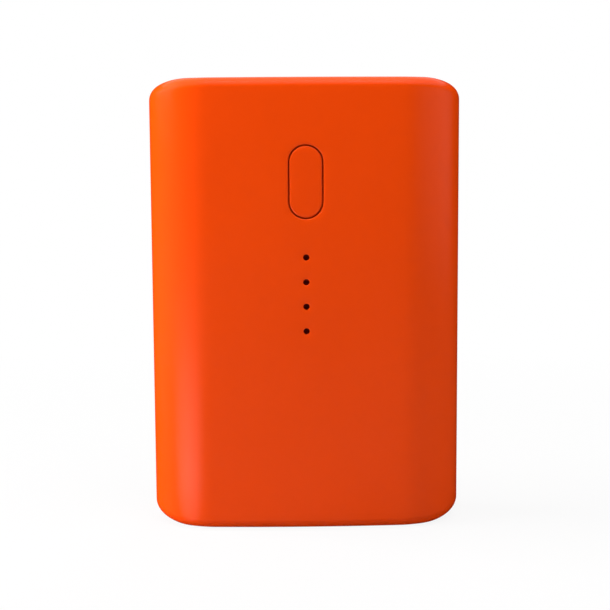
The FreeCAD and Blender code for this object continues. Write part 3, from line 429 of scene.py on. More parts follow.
def shell(name, front):
    """One moulded shell: its skin, its inner face, its seam and its openings."""
    draft = Draft()
    columns = feet(0.0, 0.0)
    rounds = [end_round(*column) for column in columns]
    # the rolled edges of both ends and the rounded sides
    for sign in (1, -1):
        draft.skin([[Vector((p.x, p.y, MID_Z + sign*p.z)) for p in row] for row in rounds])
    sides = [[Vector((row[0].x, row[0].y, MID_Z + h)) for h in spread(-row[0].z, row[0].z, WALL_STEPS)]
             for row in rounds]
    draft.skin(sides[:SIDE_STEPS + 1])
    draft.skin(sides[-SIDE_STEPS - 1:])
    # the crowned face
    holes = [outline(size) for outline, size in hole_outlines()] if front else []
    crown_face(draft, sides[SIDE_STEPS:-SIDE_STEPS], holes, 0.0)
    # the end surfaces
    top_line = [(x, 0.0) for x, _ in seam_quarter(0.0, OPENING_X + OPENING_ROUND, HALF_W)]
    foot_line = [(x, 0.0) for x, _ in seam_quarter(0.0, 0.0, HALF_W)]
    line_end = FLAT_STEPS + SHOULDER_STEPS + 1
    contact = [row[-1] for row in rounds]
    end_patch(draft, contact, top_line[:line_end][::-1], end_rise, 1, opening_half(OPENING_ROUND, 0.0))
    end_patch(draft, contact, foot_line[:line_end][::-1], end_rise, -1, None)
    # the rolled edge of the port opening
    rim = rounded_rim(lambda grow: opening_half(grow, 0.0), OPENING_ROUND,
                      lambda x, y, depth: Vector((x, y, HEIGHT - depth)))
    draft.skin(rim)
    # the skin is drawn back from the seam
    start = SEAM_ROUND if front else GROOVE + SEAM_ROUND
    bmesh.ops.remove_doubles(draft.mesh, verts=draft.mesh.verts, dist=SAME_MM)
    for vert in draft.mesh.verts:
        vert.co.y = drawn_back(vert.co.y, start)
    inner_start = LIP_H + LIP_CLEAR if front else 0.0
    inside_skin(draft, front, inner_start)
    seam(draft, front, inner_start)
    # the walls of the openings
    top_wall = [Vector((p.x, drawn_back(p.y, start), p.z)) for p in rim[-1]]
    wall_end = [Vector((x, y, HEIGHT - WALL)) for x, y in opening_half(0.0, inner_start)]
    draft.skin([top_wall, wall_end])
    if front:
        for outline, size in hole_outlines():
            face = rounded_rim(outline, size,
                               lambda x, z, depth: Vector((x, depth - crown_y(x), z)))
            face.append([Vector((x, -crown_y(x, WALL), z)) for x, z in outline(0.0)])
            draft.skin(face, closed=True)
    else:
        bmesh.ops.scale(draft.mesh, vec=Vector((1, -1, 1)), verts=draft.mesh.verts)
    return draft.finish(name)


def hole_outlines():
    """The holes of the front face as outline(grow) and the size of their rounded rim."""
    outlines = [(lambda grow: pill_loop(BUTTON_GAP + grow), HOLE_ROUND)]
    for z in LAMP_Z:
        outlines.append((lambda grow, z=z: lamp_loop(z, grow), LAMP_ROUND))
    return outlines


def crown_face(draft, sides, holes, inset):
    """The crowned face between two upright borders."""
    border = [(p.x, p.z) for p in sides[0]]
    border += [(side[-1].x, side[-1].z) for side in sides[1:]]
    border += [(p.x, p.z) for p in reversed(sides[-1][:-1])]
    border += [(side[0].x, side[0].z) for side in reversed(sides[1:-1])]
    draft.patch(border, holes, SKIN_SPACING, lambda x, z: Vector((x, -crown_y(x, inset), z)))


def inside_skin(draft, front, start_y):
    """The inner face of the shell, from its seam inwards."""
    sides = []
    for foot, _, _ in feet(WALL, side_angle(WALL, start_y)):
        high = inner_rise(foot.x)
        sides.append([Vector((foot.x, foot.y, MID_Z + h)) for h in spread(-high, high, WALL_STEPS)])
    draft.skin(sides[:SIDE_STEPS + 1])
    draft.skin(sides[-SIDE_STEPS - 1:])
    holes = [outline(0.0) for outline, _ in hole_outlines()] if front else []
    crown_face(draft, sides[SIDE_STEPS:-SIDE_STEPS], holes, WALL)
    contact = [side[-1] for side in sides]
    wall_x = sides[0][0].x
    top_line = [(x, -start_y) for x, _ in seam_quarter(WALL, OPENING_X, wall_x)]
    foot_line = [(x, -start_y) for x, _ in seam_quarter(WALL, 0.0, wall_x)]
    end_patch(draft, contact, top_line[::-1], inner_rise, 1, opening_half(0.0, start_y))
    end_patch(draft, contact, foot_line[::-1], inner_rise, -1, None)


def seam(draft, front, inner_start):
    """The rim of the shell: its rounded outer edge, then the recess or the groove and the lip."""
    edge = 0.0 if front else -GROOVE
    rows = []
    for t in spread(0, math.pi/2, SEAM_STEPS):
        inset = SEAM_ROUND*(1 - math.cos(t))
        top_x = OPENING_X + OPENING_ROUND if t == 0 else OPENING_X
        rows.append(seam_loop(inset, edge - SEAM_ROUND*(1 - math.sin(t)), top_x))
    if front:
        recess = LIP_IN - LIP_CLEAR
        rows.append(seam_loop(recess, 0.0, OPENING_X))
        rows.append(seam_loop(recess, -inner_start, OPENING_X))
    else:
        rows.append(seam_loop(GROOVE_DEPTH, -GROOVE, OPENING_X))
        rows.append(seam_loop(GROOVE_DEPTH, 0.0, OPENING_X))
        rows.append(seam_loop(LIP_IN, 0.0, OPENING_X))
        rows.append(lip_loop(LIP_IN, LIP_H - SEAM_ROUND))
        rows.append(lip_loop(LIP_IN + SEAM_ROUND, LIP_H))
        rows.append(lip_loop(LIP_IN + LIP_T, LIP_H))
    wall_x = side_foot(side_angle(WALL, inner_start), WALL)[0].x
    rows.append(seam_loop(WALL, -inner_start, OPENING_X, wall_x))
    draft.skin(rows)


def lip_loop(inset, reach):
    """A loop of the lip, which stops short of the port plate."""
    loop = seam_loop(inset, reach, OPENING_X)
    for point in loop:
        if abs(point.x) < LIP_ENDS_AT and point.z > MID_Z:
            point.y = 0.0
    return loop


def button_cap():
    """The pill-shaped cap, crowned with the face, and its flange behind the wall."""
    draft = Draft()
    draft.patch(pill_loop(-BUTTON_ROUND), [], CAP_SPACING, lambda x, z: Vector((x, -crown_y(x), z)))
    rows = []
    for t in spread(0, math.pi/2, BUTTON_ROUND_STEPS):
        shrink = -BUTTON_ROUND*(1 - math.sin(t))
        depth = BUTTON_ROUND*(1 - math.cos(t))
        rows.append([Vector((x, depth - crown_y(x), z)) for x, z in pill_loop(shrink)])
    low, high = (corner/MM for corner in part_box("power_button"))
    seat = high.y - FLANGE_T
    rows.append([Vector((x, seat, z)) for x, z in pill_loop(0.0)])
    grow = (high.x - low.x - BUTTON_W)/2
    rows.append([Vector((x, seat, z)) for x, z in pill_loop(grow)])
    rows.append([Vector((x, high.y, z)) for x, z in pill_loop(grow)])
    draft.skin(rows, closed=True)
    draft.patch(pill_loop(grow), [], FLANGE_SPACING, lambda x, z: Vector((x, high.y, z)))
    return draft.finish("button_cap")


# Materials

class Value:
    """A node's output that can be used in sums and products."""

    def __init__(self, nodes, socket):
        self.nodes = nodes
        self.socket = socket

    def _math(self, operation, first, second):
        return self.nodes.value("ShaderNodeMath", {"operation": operation}, first, second)

    def __add__(self, other):
        return self._math("ADD", self, other)

    def __radd__(self, other):
        return self._math("ADD", other, self)

    def __sub__(self, other):
        return self._math("SUBTRACT", self, other)

    def __rsub__(self, other):
        return self._math("SUBTRACT", other, self)

    def __mul__(self, other):
        return self._math("MULTIPLY", self, other)


class Nodes:
    """A node tree that is built call by call."""

    def __init__(self, tree):
        self.tree = tree

    def node(self, kind, settings, *inputs):
        """A node with its settings made first, then its inputs by name or in order."""
        node = self.tree.nodes.new(kind)
        for name, setting in settings.items():
            setattr(node, name, setting)
        for k, given in enumerate(inputs):
            pairs = given.items() if isinstance(given, dict) else [(k, given)]
            for key, item in pairs:
                self.feed(node.inputs[key], item)
        return node

    def feed(self, socket, item):
        if isinstance(item, Value):
            self.tree.links.new(item.socket, socket)
        else:
            socket.default_value = item

    def value(self, kind, settings, *inputs, out=0):
        return Value(self, self.node(kind, settings, *inputs).outputs[out])


class Shader(Nodes):
    """A material's nodes, with a Principled shader to begin with."""

    def __init__(self, name):
        self.material = bpy.data.materials.new(name)
        self.material.use_nodes = True
        super().__init__(self.material.node_tree)
        self.surface = self.tree.nodes["Principled BSDF"]
        self.place = self.value("ShaderNodeTexCoord", {}, out="Object")

    def drawn(self, x, y, z, turn=0.0):
        """The place on the piece, scaled on each axis, so that a pattern is drawn out, and turned."""
        return self.value("ShaderNodeMapping", {},
                          {"Vector": self.place, "Scale": (x, y, z), "Rotation": (turn, 0, 0)})

    def noise(self, scale, detail=2.0, place=None):
        """Noise from 0 to 1 with features about 1/scale metres across."""
        return self.value("ShaderNodeTexNoise", {},
                          {"Vector": place or self.place, "Scale": scale, "Detail": detail})

    def cells(self, scale, feature="F1"):
        """Distance from the middle or the edge of irregular cells."""
        return self.value("ShaderNodeTexVoronoi", {"feature": feature},
                          {"Vector": self.place, "Scale": scale})

    def steps(self, value, low, high):
        """0 below low, 1 above high and even between them."""
        return self.value("ShaderNodeMapRange", {},
                          {"Value": value, "From Min": low, "From Max": high})

    def between(self, value, low, high):
        """A value from 0 to 1 spread between two numbers."""
        return low + value*(high - low)

    def mix(self, share, first, second):
        """Two colours, each three numbers or an output, mixed by a share."""
        node = self.node("ShaderNodeMix", {"data_type": "RGBA"}, {"Factor": share})
        for socket, colour in zip((node.inputs[6], node.inputs[7]), (first, second)):
            self.feed(socket, colour if isinstance(colour, Value) else (*colour, 1.0))
        return Value(self, node.outputs[2])

    def bump(self, height, depth):
        """A relief of a given depth in metres."""
        return self.value("ShaderNodeBump", {}, {"Height": height, "Distance": depth, "Strength": 1.0})

    def set(self, **inputs):
        for name, item in inputs.items():
            self.feed(self.surface.inputs[name.replace("_", " ")], item)
        return self.material


def soft_touch(name, dark, light):
    """Satin soft-touch paint: faint drifts of colour, a fine even tooth and slight rub marks."""
    shader = Shader(name)
    colour = shader.mix(shader.noise(28.0), dark, light)
    rubbed = shader.steps(shader.noise(75.0, 4.0), 0.45, 0.75)
    tooth = shader.noise(5200.0)
    return shader.set(Base_Color=colour, Roughness=shader.between(rubbed, 0.20, 0.17), IOR=1.33,
                      Normal=shader.bump(tooth, 0.000003))


def moulded(name, dark, light, rough, grain=2600.0):
    """Moulded plastic: a spark-eroded grain and faint flow marks."""
    shader = Shader(name)
    flow = shader.noise(1.0, 3.0, shader.drawn(90.0, 90.0, 260.0))
    uneven = shader.noise(700.0)
    return shader.set(Base_Color=shader.mix(flow, dark, light),
                      Roughness=shader.between(uneven, rough - 0.05, rough + 0.05),
                      Normal=shader.bump(shader.noise(grain, 3.0), 0.000008))


def glass_filled(name, dark, light):
    """Glass-filled nylon: short fibres show as fine pale streaks in a dull skin."""
    shader = Shader(name)
    fibres = shader.steps(shader.noise(1.0, 2.0, shader.drawn(1400.0, 6500.0, 1400.0)), 0.58, 0.72)
    return shader.set(Base_Color=shader.mix(fibres, dark, light),
                      Roughness=shader.between(fibres, 0.56, 0.44),
                      Normal=shader.bump(fibres + shader.noise(2400.0), 0.000006))


def rubber(name, dark, light):
    """Moulded rubber: matt, with bloom in patches and a fine leathery skin."""
    shader = Shader(name)
    bloom = shader.steps(shader.noise(180.0, 4.0), 0.4, 0.8)
    skin = shader.cells(3400.0)
    return shader.set(Base_Color=shader.mix(bloom, dark, light),
                      Roughness=shader.between(bloom, 0.62, 0.76), Specular_IOR_Level=0.35,
                      Normal=shader.bump(skin, 0.00001))


def metal(name, dark, light, rough, drawn=(2700.0, 2700.0, 180.0)):
    """Plated or bare metal: drawn lines, faint stains and a little unevenness."""
    shader = Shader(name)
    stains = shader.noise(260.0, 5.0)
    lines = shader.noise(1.0, 3.0, shader.drawn(*drawn))
    return shader.set(Base_Color=shader.mix(stains, dark, light), Metallic=1.0,
                      Roughness=shader.between(lines*0.4 + stains*0.6, rough - 0.06, rough + 0.10),
                      Normal=shader.bump(lines, 0.000001))


def circuit_board(name, mask, track):
    """Green solder mask over copper tracks, with the laminate's weave faintly through it."""
    shader = Shader(name)
    flat = shader.drawn(1.0, 1.0, 1.0, math.pi/2)
    tracks = shader.value("ShaderNodeTexBrick", {}, {"Vector": flat, "Scale": 420.0,
                          "Mortar Size": 0.028, "Mortar Smooth": 0.2}, out="Fac")
    poured = shader.steps(shader.noise(130.0, 1.0), 0.50, 0.53)
    copper = shader.value("ShaderNodeMath", {"operation": "MAXIMUM"}, tracks*(1 - poured), poured*0.6)
    weave = shader.noise(1.0, 1.0, shader.drawn(2600.0, 2600.0, 2600.0))
    return shader.set(Base_Color=shader.mix(copper, mask, track),
                      Roughness=shader.between(weave, 0.22, 0.34), Coat_Weight=0.3,
                      Normal=shader.bump(copper + weave*0.2, 0.00002))


def pouch_foil(name, dark, light):
    """Dull laminated foil: fine embossing and shallow dents, with painted shade that darkens the dents and
    lightens the rises between them.
    """
    shader = Shader(name)
    dents = shader.noise(70.0, 3.0)
    embossed = shader.cells(1500.0)
    # painted shade: the colour follows the dents' relief, darker where they sink and lighter on the rises
    return shader.set(Base_Color=shader.mix(dents, dark, light), Metallic=0.85,
                      Roughness=shader.between(dents, 0.34, 0.48),
                      Normal=shader.bump(dents*8.0 + embossed, 0.000015))


def paper_tape(name, dark, light):
    """Double-sided tape: a fibrous liner that shows the glue in patches."""
    shader = Shader(name)
    fibres = shader.noise(1.0, 4.0, shader.drawn(2600.0, 700.0, 2600.0))
    return shader.set(Base_Color=shader.mix(fibres, dark, light),
                      Roughness=shader.between(fibres, 0.45, 0.7),
                      Normal=shader.bump(fibres, 0.00002))


def foam(name, dark, light):
    """Closed-cell foam: small round cells with thin walls, the cells' hollows painted darker as shade and the
    walls lighter.
    """
    shader = Shader(name)
    walls = shader.steps(shader.cells(1900.0, "DISTANCE_TO_EDGE"), 0.0, 0.35)
    # painted shade: each cell's hollow is coloured darker than its walls, where the relief sinks
    return shader.set(Base_Color=shader.mix(walls, light, dark),
                      Roughness=shader.between(walls, 0.8, 0.95), Specular_IOR_Level=0.2,
                      Normal=shader.bump(1 - walls, 0.00008))


def pressed_powder(name, dark, light):
    """A pressed powder core: fine metallic specks in a grey body."""
    shader = Shader(name)
    specks = shader.steps(shader.noise(5200.0, 1.0), 0.6, 0.7)
    return shader.set(Base_Color=shader.mix(specks, dark, light),
                      Roughness=shader.between(specks, 0.62, 0.4),
                      Normal=shader.bump(shader.noise(2600.0, 3.0), 0.00002))


def clear_moulding(name, dark, light, rough):
    """A clear or tinted lens: glossy, with slight flow lines in its depth."""
    shader = Shader(name)
    flow = shader.noise(1.0, 2.0, shader.drawn(500.0, 500.0, 120.0))
    return shader.set(Base_Color=shader.mix(flow, dark, light),
                      Roughness=shader.between(flow, rough, rough + 0.06), Coat_Weight=0.6,
                      Coat_Roughness=0.08, Normal=shader.bump(flow, 0.000006))


def finishes():
    """One finish for each slot of the record."""
    return {
        "shell": soft_touch("shell_orange", (0.78, 0.056, 0.0014), (0.83, 0.061, 0.0018)),
        "button": soft_touch("button_orange", (0.77, 0.054, 0.0014), (0.82, 0.059, 0.0018)),
        "plate": moulded("fine_grained_black", (0.028, 0.028, 0.030), (0.038, 0.038, 0.041), 0.46),
        "rubber": rubber("moulded_rubber", (0.022, 0.022, 0.023), (0.034, 0.034, 0.036)),
        "socket": glass_filled("glass_filled_nylon", (0.040, 0.048, 0.062), (0.085, 0.10, 0.12)),
        "contact": metal("gold_flash", (0.72, 0.50, 0.20), (0.88, 0.68, 0.34), 0.24),
        "copper": metal("bare_copper", (0.60, 0.27, 0.14), (0.80, 0.42, 0.25), 0.30),
        "port_metal": metal("nickel_plate", (0.55, 0.55, 0.55), (0.68, 0.68, 0.69), 0.26),
        "port_white": moulded("moulded_white", (0.74, 0.74, 0.72), (0.82, 0.82, 0.80), 0.38),
        "port_black": moulded("moulded_black", (0.024, 0.024, 0.024), (0.034, 0.034, 0.034), 0.42),
        "guide": clear_moulding("dark_red_guide", (0.16, 0.010, 0.006), (0.24, 0.020, 0.012), 0.14),
        "lamp": clear_moulding("lamp_lens", (0.80, 0.79, 0.72), (0.88, 0.87, 0.82), 0.08),
        "board": circuit_board("green_board", (0.012, 0.12, 0.055), (0.04, 0.24, 0.11)),
        "switch": moulded("switch_black", (0.030, 0.030, 0.030), (0.044, 0.044, 0.044), 0.40),
        "tin": metal("tinned", (0.58, 0.58, 0.57), (0.72, 0.72, 0.71), 0.34),
        "package": moulded("chip_black", (0.026, 0.026, 0.028), (0.040, 0.040, 0.042), 0.52, 4200.0),
        "ferrite": pressed_powder("pressed_powder", (0.08, 0.08, 0.085), (0.20, 0.20, 0.21)),
        "spreader": metal("bare_aluminium", (0.66, 0.67, 0.68), (0.78, 0.79, 0.80), 0.32,
                          (180.0, 2700.0, 2700.0)),
        "foil": pouch_foil("laminated_foil", (0.58, 0.59, 0.61), (0.72, 0.73, 0.75)),
        "tape": paper_tape("double_sided_tape", (0.72, 0.64, 0.44), (0.84, 0.78, 0.60)),
        "film": moulded("insulating_sheet", (0.040, 0.040, 0.040), (0.060, 0.060, 0.060), 0.34, 900.0),
        "foam": foam("closed_cell_foam", (0.030, 0.030, 0.031), (0.075, 0.075, 0.078)),
        "screw": metal("zinc_plate", (0.46, 0.47, 0.50), (0.62, 0.62, 0.64), 0.28),
    }


# Small pieces of the top end

def softened(node, name, width):
    """A copy of a CAD node with its flat faces joined and its edges rounded."""
    bm = bmesh.new()
    bm.from_mesh(nodes[node].data)
    bmesh.ops.remove_doubles(bm, verts=bm.verts, dist=SAME_M)
    bmesh.ops.dissolve_limit(bm, angle_limit=math.radians(FLAT_ANGLE), verts=bm.verts, edges=bm.edges)
    piece = mesh_object(bm, name)
    bevel = piece.modifiers.new("edges", "BEVEL")
    bevel.width = width*MM
    bevel.segments = EDGE_SEGMENTS
    bevel.limit_method = "ANGLE"
    bevel.angle_limit = math.radians(EDGE_ANGLE)
    bevel.harden_normals = True
    return applied(piece)


def applied(piece):
    """The piece with its modifiers made part of its mesh."""
    graph = bpy.context.evaluated_depsgraph_get()
    mesh = bpy.data.meshes.new_from_object(piece.evaluated_get(graph))
    piece.modifiers.clear()
    piece.data = mesh
    return piece


def strip_rule():
    """The rule for a row of alike strips: each runs along Y in a shallow bow, its edges rounded."""
    tree = bpy.data.node_groups.new("strip_row", "GeometryNodeTree")
    kinds = {"Count": "NodeSocketInt", "Finish": "NodeSocketMaterial"}
    for name in ("Count", "Pitch", "Length", "Width", "Thickness", "Bow", "Round", "Finish"):
        tree.interface.new_socket(name, in_out="INPUT", socket_type=kinds.get(name, "NodeSocketFloat"))
    tree.interface.new_socket("Geometry", in_out="OUTPUT", socket_type="NodeSocketGeometry")
    rule = Nodes(tree)
    given = rule.node("NodeGroupInput", {})
    size = {socket.name: Value(rule, socket) for socket in given.outputs if socket.name}

    def point(x, y, z):
        return rule.value("ShaderNodeCombineXYZ", {}, x, y, z)

    half = size["Length"]*0.5
    path = rule.value("GeometryNodeCurveQuadraticBezier", {},
                      {"Resolution": BOW_STEPS, "Start": point(0.0, half*-1.0, 0.0),
                       "Middle": point(0.0, 0.0, size["Bow"]), "End": point(0.0, half, 0.0)})
    across = rule.value("GeometryNodeCurvePrimitiveQuadrilateral", {},
                        {"Width": size["Width"], "Height": size["Thickness"]})
    across = rule.value("GeometryNodeFilletCurve", {"mode": "POLY"},
                        {"Curve": across, "Count": STRIP_ROUND_STEPS, "Radius": size["Round"]})
    strip = rule.value("GeometryNodeCurveToMesh", {},
                       {"Curve": path, "Profile Curve": across, "Fill Caps": True})
    first = (size["Count"] - 1)*size["Pitch"]*-0.5
    line = rule.value("GeometryNodeMeshLine", {},
                      {"Count": size["Count"], "Start Location": point(first, 0.0, 0.0),
                       "Offset": point(size["Pitch"], 0.0, 0.0)})
    row = rule.value("GeometryNodeInstanceOnPoints", {}, {"Points": line, "Instance": strip})
    row = rule.value("GeometryNodeRealizeInstances", {}, row)
    row = rule.value("GeometryNodeSetMaterial", {}, {"Geometry": row, "Material": size["Finish"]})
    rule.feed(rule.node("NodeGroupOutput", {}).inputs["Geometry"], row)
    return tree


def strip_row(rule, name, finish, rows, count, pitch, length, width, thickness, bow, rounding):
    """Rows of strips as one mesh: rows gives each row's turn about X and its middle."""
    given = {"Count": count, "Pitch": pitch*MM, "Length": length*MM, "Width": width*MM,
             "Thickness": thickness*MM, "Bow": bow*MM, "Round": rounding*MM, "Finish": finish}
    bm = bmesh.new()
    for turn, middle in rows:
        piece = mesh_object(bmesh.new(), name + "_row")
        modifier = piece.modifiers.new("row", "NODES")
        modifier.node_group = rule
        for socket in rule.interface.items_tree:
            if socket.in_out == "INPUT":
                modifier[socket.identifier] = given[socket.name]
        applied(piece)
        piece.data.transform(Matrix.Translation(Vector(middle)*MM) @ Matrix.Rotation(turn, 4, "X"))
        bm.from_mesh(piece.data)
        bpy.data.objects.remove(piece)
    bmesh.ops.remove_doubles(bm, verts=bm.verts, dist=SAME_STRIP_M)
    bmesh.ops.recalc_face_normals(bm, faces=bm.faces)
    return mesh_object(bm, name)


def cover_joint():
    """The hinge of the rubber flap."""
    return next(joint for joint in frame["joints"] if joint["name"] == "cover_swing")


def hinge_web():
    """The thin rubber web between the flap's lid and its strap, laid over the hinge."""
    low, high = (corner/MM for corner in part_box("cover_strap"))
    hinge = Vector(cover_joint()["pos_m"])/MM
    start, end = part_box("socket_cover")[1].y/MM - WEB_GRIP, hinge.y + WEB_GRIP
    left, right = low.x + WEB_INSET, high.x - WEB_INSET
    under, over = hinge.z - WEB_T/2, hinge.z + WEB_T/2
    corners = ((left, under), (right, under), (right, over), (left, over))
    bm = bmesh.new()
    rows = []
    for k in range(WEB_STEPS + 1):
        y = start + (end - start)*k/WEB_STEPS
        rows.append([bm.verts.new(Vector((x, y, z))*MM) for x, z in corners])
    for near, far in zip(rows, rows[1:]):
        for k in range(4):
            bm.faces.new((near[k], near[(k + 1) % 4], far[(k + 1) % 4], far[k]))
    bm.faces.new(rows[0])
    bm.faces.new(rows[-1])
    bmesh.ops.recalc_face_normals(bm, faces=bm.faces)
    return mesh_object(bm, "hinge_web")


def dress(piece, body, slot, *replaced):
    """Gives a new piece its finish and its body, and hides the CAD nodes that it stands for."""
    piece.data.materials.clear()
    piece.data.materials.append(FINISHES[slot])
    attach(piece, body)
    if replaced:
        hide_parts(*replaced)


# Camera, floor and light

def photo_camera():
    """The photograph's camera: four pack widths away, a little above the middle."""
    unit = 2*HALF_W*MM
    tilt, yaw, roll = math.radians(6.02), math.radians(1.0), math.radians(0.34)
    turn = Matrix.Rotation(roll, 3, "Z") @ Matrix.Rotation(tilt, 3, "X") @ Matrix.Rotation(yaw, 3, "Y")
    back = turn.transposed()
    # right, up and towards the viewer
    axes = Matrix(((1, 0, 0), (0, 0, -1), (0, 1, 0)))
    place = axes @ (back @ Vector(CAMERA_PLACE))*unit + Vector((0, 0, MID_Z*MM))
    data = bpy.data.cameras.new("camera")
    data.sensor_width = 36.0
    data.lens = data.sensor_width*FOCUS/PHOTO_SIDE
    data.clip_start = 0.01
    data.clip_end = 20.0
    camera = bpy.data.objects.new("camera", data)
    camera.matrix_world = Matrix.Translation(place) @ (axes @ back).to_4x4()
    bpy.context.scene.collection.objects.link(camera)
    bpy.context.scene.camera = camera


def soft_box(name, azimuth, elevation, distance, size, watts):
    """A soft lamp that faces the pack, which gloss does not see. Azimuth 0 is in front, 90 right."""
    across, up = math.radians(azimuth), math.radians(elevation)
    way = Vector((math.sin(across)*math.cos(up), -math.cos(across)*math.cos(up), math.sin(up)))
    data = bpy.data.lights.new(name, "AREA")
    data.shape = "RECTANGLE"
    data.size, data.size_y = size
    data.energy = watts
    lamp = bpy.data.objects.new(name, data)
    place = Vector((0, 0, MID_Z*MM)) + distance*way
    lamp.matrix_world = Matrix.Translation(place) @ way.to_track_quat("Z", "Y").to_matrix().to_4x4()
    lamp.visible_glossy = False
    bpy.context.scene.collection.objects.link(lamp)


def even(across):
    """The same glow all across a card."""
    return 1.0


def middle_fade(across):
    """Brightest halfway across and dark at both edges."""
    return math.sin(math.pi*across)


def foot_fade(across):
    """Dimmed at the pack's foot, brightest close to it and fading out away from it."""
    return (1 - across)**1.6*min(1, 0.4 + 12*across)


def gloss_card(name, strength, middle, azimuths, radii, heights, fade):
    """A card that only the gloss sees: a sector between two azimuths, radii and heights.

    Its glow fades out towards both azimuths, and from the first radius to the second by fade.
    """
    bm = bmesh.new()
    layer = bm.verts.layers.float.new("glow")
    columns = []
    for around in spread(0, 1, CARD_STEPS):
        angle = math.radians(azimuths[0] + around*(azimuths[1] - azimuths[0]))
        way = Vector((math.sin(angle), -math.cos(angle), 0))
        column = []
        for across in spread(0, 1, CARD_ROWS):
            radius = radii[0] + across*(radii[1] - radii[0])
            height = heights[0] + across*(heights[1] - heights[0])
            vert = bm.verts.new(radius*way + Vector((middle[0], middle[1], height)))
            vert[layer] = middle_fade(around)*fade(across)
            column.append(vert)
        columns.append(column)
    for first, second in zip(columns, columns[1:]):
        for k in range(CARD_ROWS):
            bm.faces.new((first[k], second[k], second[k + 1], first[k + 1]))
    card = mesh_object(bm, name)
    card.visible_camera = False
    card.visible_diffuse = False
    card.visible_transmission = False
    card.visible_shadow = False
    shader = Shader(name)
    glow = shader.value("ShaderNodeAttribute", {"attribute_name": "glow"}, out="Fac")
    light = shader.value("ShaderNodeEmission", {}, {"Strength": glow*strength})
    shader.feed(shader.tree.nodes["Material Output"].inputs["Surface"], light)
    card.data.materials.append(shader.material)


def plain_ray(tree):
    """1 where the background is seen straight, mirrored or through something clear."""
    path = tree.node("ShaderNodeLightPath", {}).outputs
    total = Value(tree, path["Is Camera Ray"])
    for kind in ("Is Glossy Ray", "Is Transmission Ray"):
        total = tree.value("ShaderNodeMath", {"operation": "MAXIMUM"}, total, Value(tree, path[kind]))
    return total


def studio():
    """Soft light mostly from the left, as in the photograph, in a white room."""
    # azimuth and elevation in degrees, distance and size in metres, watts
    soft_box("left_box", -89, 24, 0.9, (0.7, 0.5), 20.0)
    soft_box("right_box", 90, 12, 0.9, (0.45, 0.9), 2.4)
    soft_box("near_top_box", 0, 70, 0.35, (0.25, 0.2), 0.72)
    soft_box("near_right_box", 50, 62, 0.35, (0.25, 0.2), 0.42)
    soft_box("top_box", 0, 88, 0.8, (0.7, 0.7), 0.3)
    soft_box("back_box", 160, 12, 0.9, (0.45, 0.9), 5.0)
    # strength, middle in metres, azimuths in degrees, radii and heights in metres
    gloss_card("dark_wall", 0.0, (0, 0), (0, 360), (0.56, 0.56), (0.0, 0.45), even)
    gloss_card("dark_floor", 0.0, (0, 0), (0, 360), (0.010, 0.56), (0.0003, 0.0003), even)
    gloss_card("bright_floor", 3.8, (-0.026, -0.010), (-74, -20), (0.004, 0.50), (0.0008, 0.0008),
               foot_fade)
    gloss_card("bright_wall", 0.6, (0, 0), (26, 112), (0.55, 0.55), (0.0, 0.28), middle_fade)
    world = bpy.data.worlds.new("studio")
    bpy.context.scene.world = world
    world.use_nodes = True
    sky = Nodes(world.node_tree)
    room = sky.value("ShaderNodeBackground", {}, {"Color": WHITE, "Strength": ROOM_LIGHT})
    white = sky.value("ShaderNodeBackground", {}, {"Color": WHITE, "Strength": 1.0})
    mix = sky.value("ShaderNodeMixShader", {}, plain_ray(sky), room, white)
    sky.feed(world.node_tree.nodes["World Output"].inputs["Surface"], mix)


def pale_floor():
    """A pale floor that runs out into the white background and keeps the pack's shadow."""
    bm = bmesh.new()
    bmesh.ops.create_grid(bm, x_segments=4, y_segments=4, size=FLOOR_HALF)
    floor = mesh_object(bm, "floor")
    shader = Shader("pale_floor")
    shader.set(Base_Color=FLOOR_GREY, Roughness=0.7)
    away = shader.value("ShaderNodeVectorMath", {"operation": "LENGTH"}, shader.place, out="Value")
    plain = shader.between(shader.steps(away, *FLOOR_FADE), FLOOR_GLOW, 1.0)
    glow = shader.value("ShaderNodeEmission", {}, {"Color": WHITE, "Strength": 1.0})
    lit = Value(shader, shader.surface.outputs[0])
    mix = shader.value("ShaderNodeMixShader", {}, plain_ray(shader)*plain, lit, glow)
    shader.feed(shader.tree.nodes["Material Output"].inputs["Surface"], mix)
    floor.data.materials.append(shader.material)


bpy.context.scene.view_settings.view_transform = "Standard"
photo_camera()
studio()
pale_floor()

FINISHES = finishes()
for part in frame["record"]["subparts"]:
    for slot in nodes[part["node"]].material_slots:
        slot.material = FINISHES[part["material_slot"]]

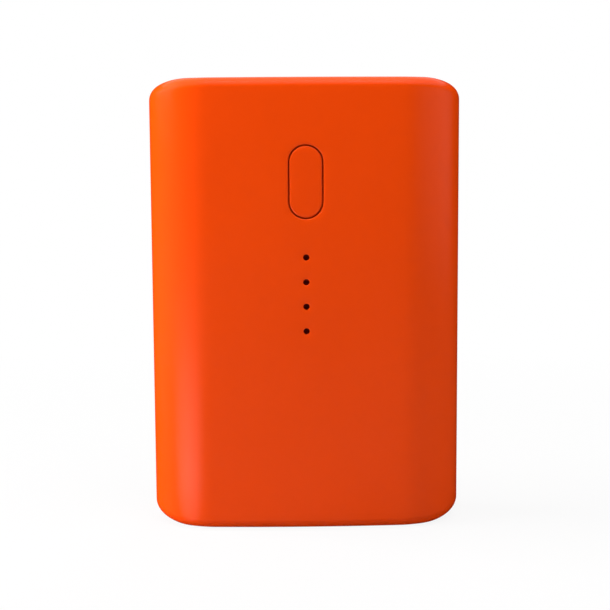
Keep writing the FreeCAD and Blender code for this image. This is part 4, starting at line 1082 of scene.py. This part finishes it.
dress(shell("front_shell", True), "pack", "shell", "front_cover")
dress(shell("rear_shell", False), "pack", "shell", "rear_cover")
dress(button_cap(), "button", "button", "power_button")
for node, name, width, body, slot in (
        ("port_plate", "end_plate", 0.18, "pack", "plate"),
        ("jump_socket_housing", "jump_socket", 0.12, "pack", "socket"),
        ("positive_contact", "positive_pin", 0.10, "pack", "contact"),
        ("negative_contact", "negative_pin", 0.10, "pack", "contact"),
        ("socket_cover", "socket_flap", 0.25, "flap", "rubber"),
        ("cover_strap", "flap_strap", 0.12, "pack", "rubber"),
        ("usb_a_shell", "wide_port_shell", 0.06, "pack", "port_metal"),
        ("usb_a_tongue", "wide_port_tongue", 0.10, "pack", "port_white"),
        ("usb_c_shell", "small_port_shell", 0.05, "pack", "port_metal"),
        ("usb_c_tongue", "small_port_tongue", 0.08, "pack", "port_black")):
    dress(softened(node, name, width), body, slot, node)

# Rows of alike strips, in millimetres
UPRIGHT = math.pi/2
STRIPS = strip_rule()
wide_port = strip_row(STRIPS, "wide_port_contacts", FINISHES["contact"],
                      [(UPRIGHT, (6.8, -0.23, 101.8))], count=4, pitch=2.3,
                      length=7.4, width=1.1, thickness=0.12, bow=0.03, rounding=0.04)
dress(wide_port, "pack", "contact", "usb_a_contacts")
small_port = strip_row(STRIPS, "small_port_contacts", FINISHES["contact"],
                       [(UPRIGHT, (19.4, -0.41, 104.9)), (UPRIGHT, (19.4, 0.41, 104.9))],
                       count=8, pitch=0.75,
                       length=3.8, width=0.25, thickness=0.12, bow=0.0, rounding=0.04)
dress(small_port, "pack", "contact", "usb_c_contacts")
link = strip_row(STRIPS, "link_pins", FINISHES["contact"],
                 [(0.0, (4.5, -4.5, 89.5))], count=6, pitch=1.27,
                 length=7.4, width=0.5, thickness=0.5, bow=0.0, rounding=0.08)
dress(link, "pack", "contact", "link_header_pins")
grip = strip_row(STRIPS, "flap_grip", FINISHES["rubber"],
                 [(0.0, (-13.5, -5.2, 108.42))], count=9, pitch=0.8,
                 length=1.8, width=0.34, thickness=0.3, bow=0.06, rounding=0.1)
dress(grip, "flap", "rubber")

web = hinge_web()
web.data.materials.append(FINISHES["rubber"])
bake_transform(web)
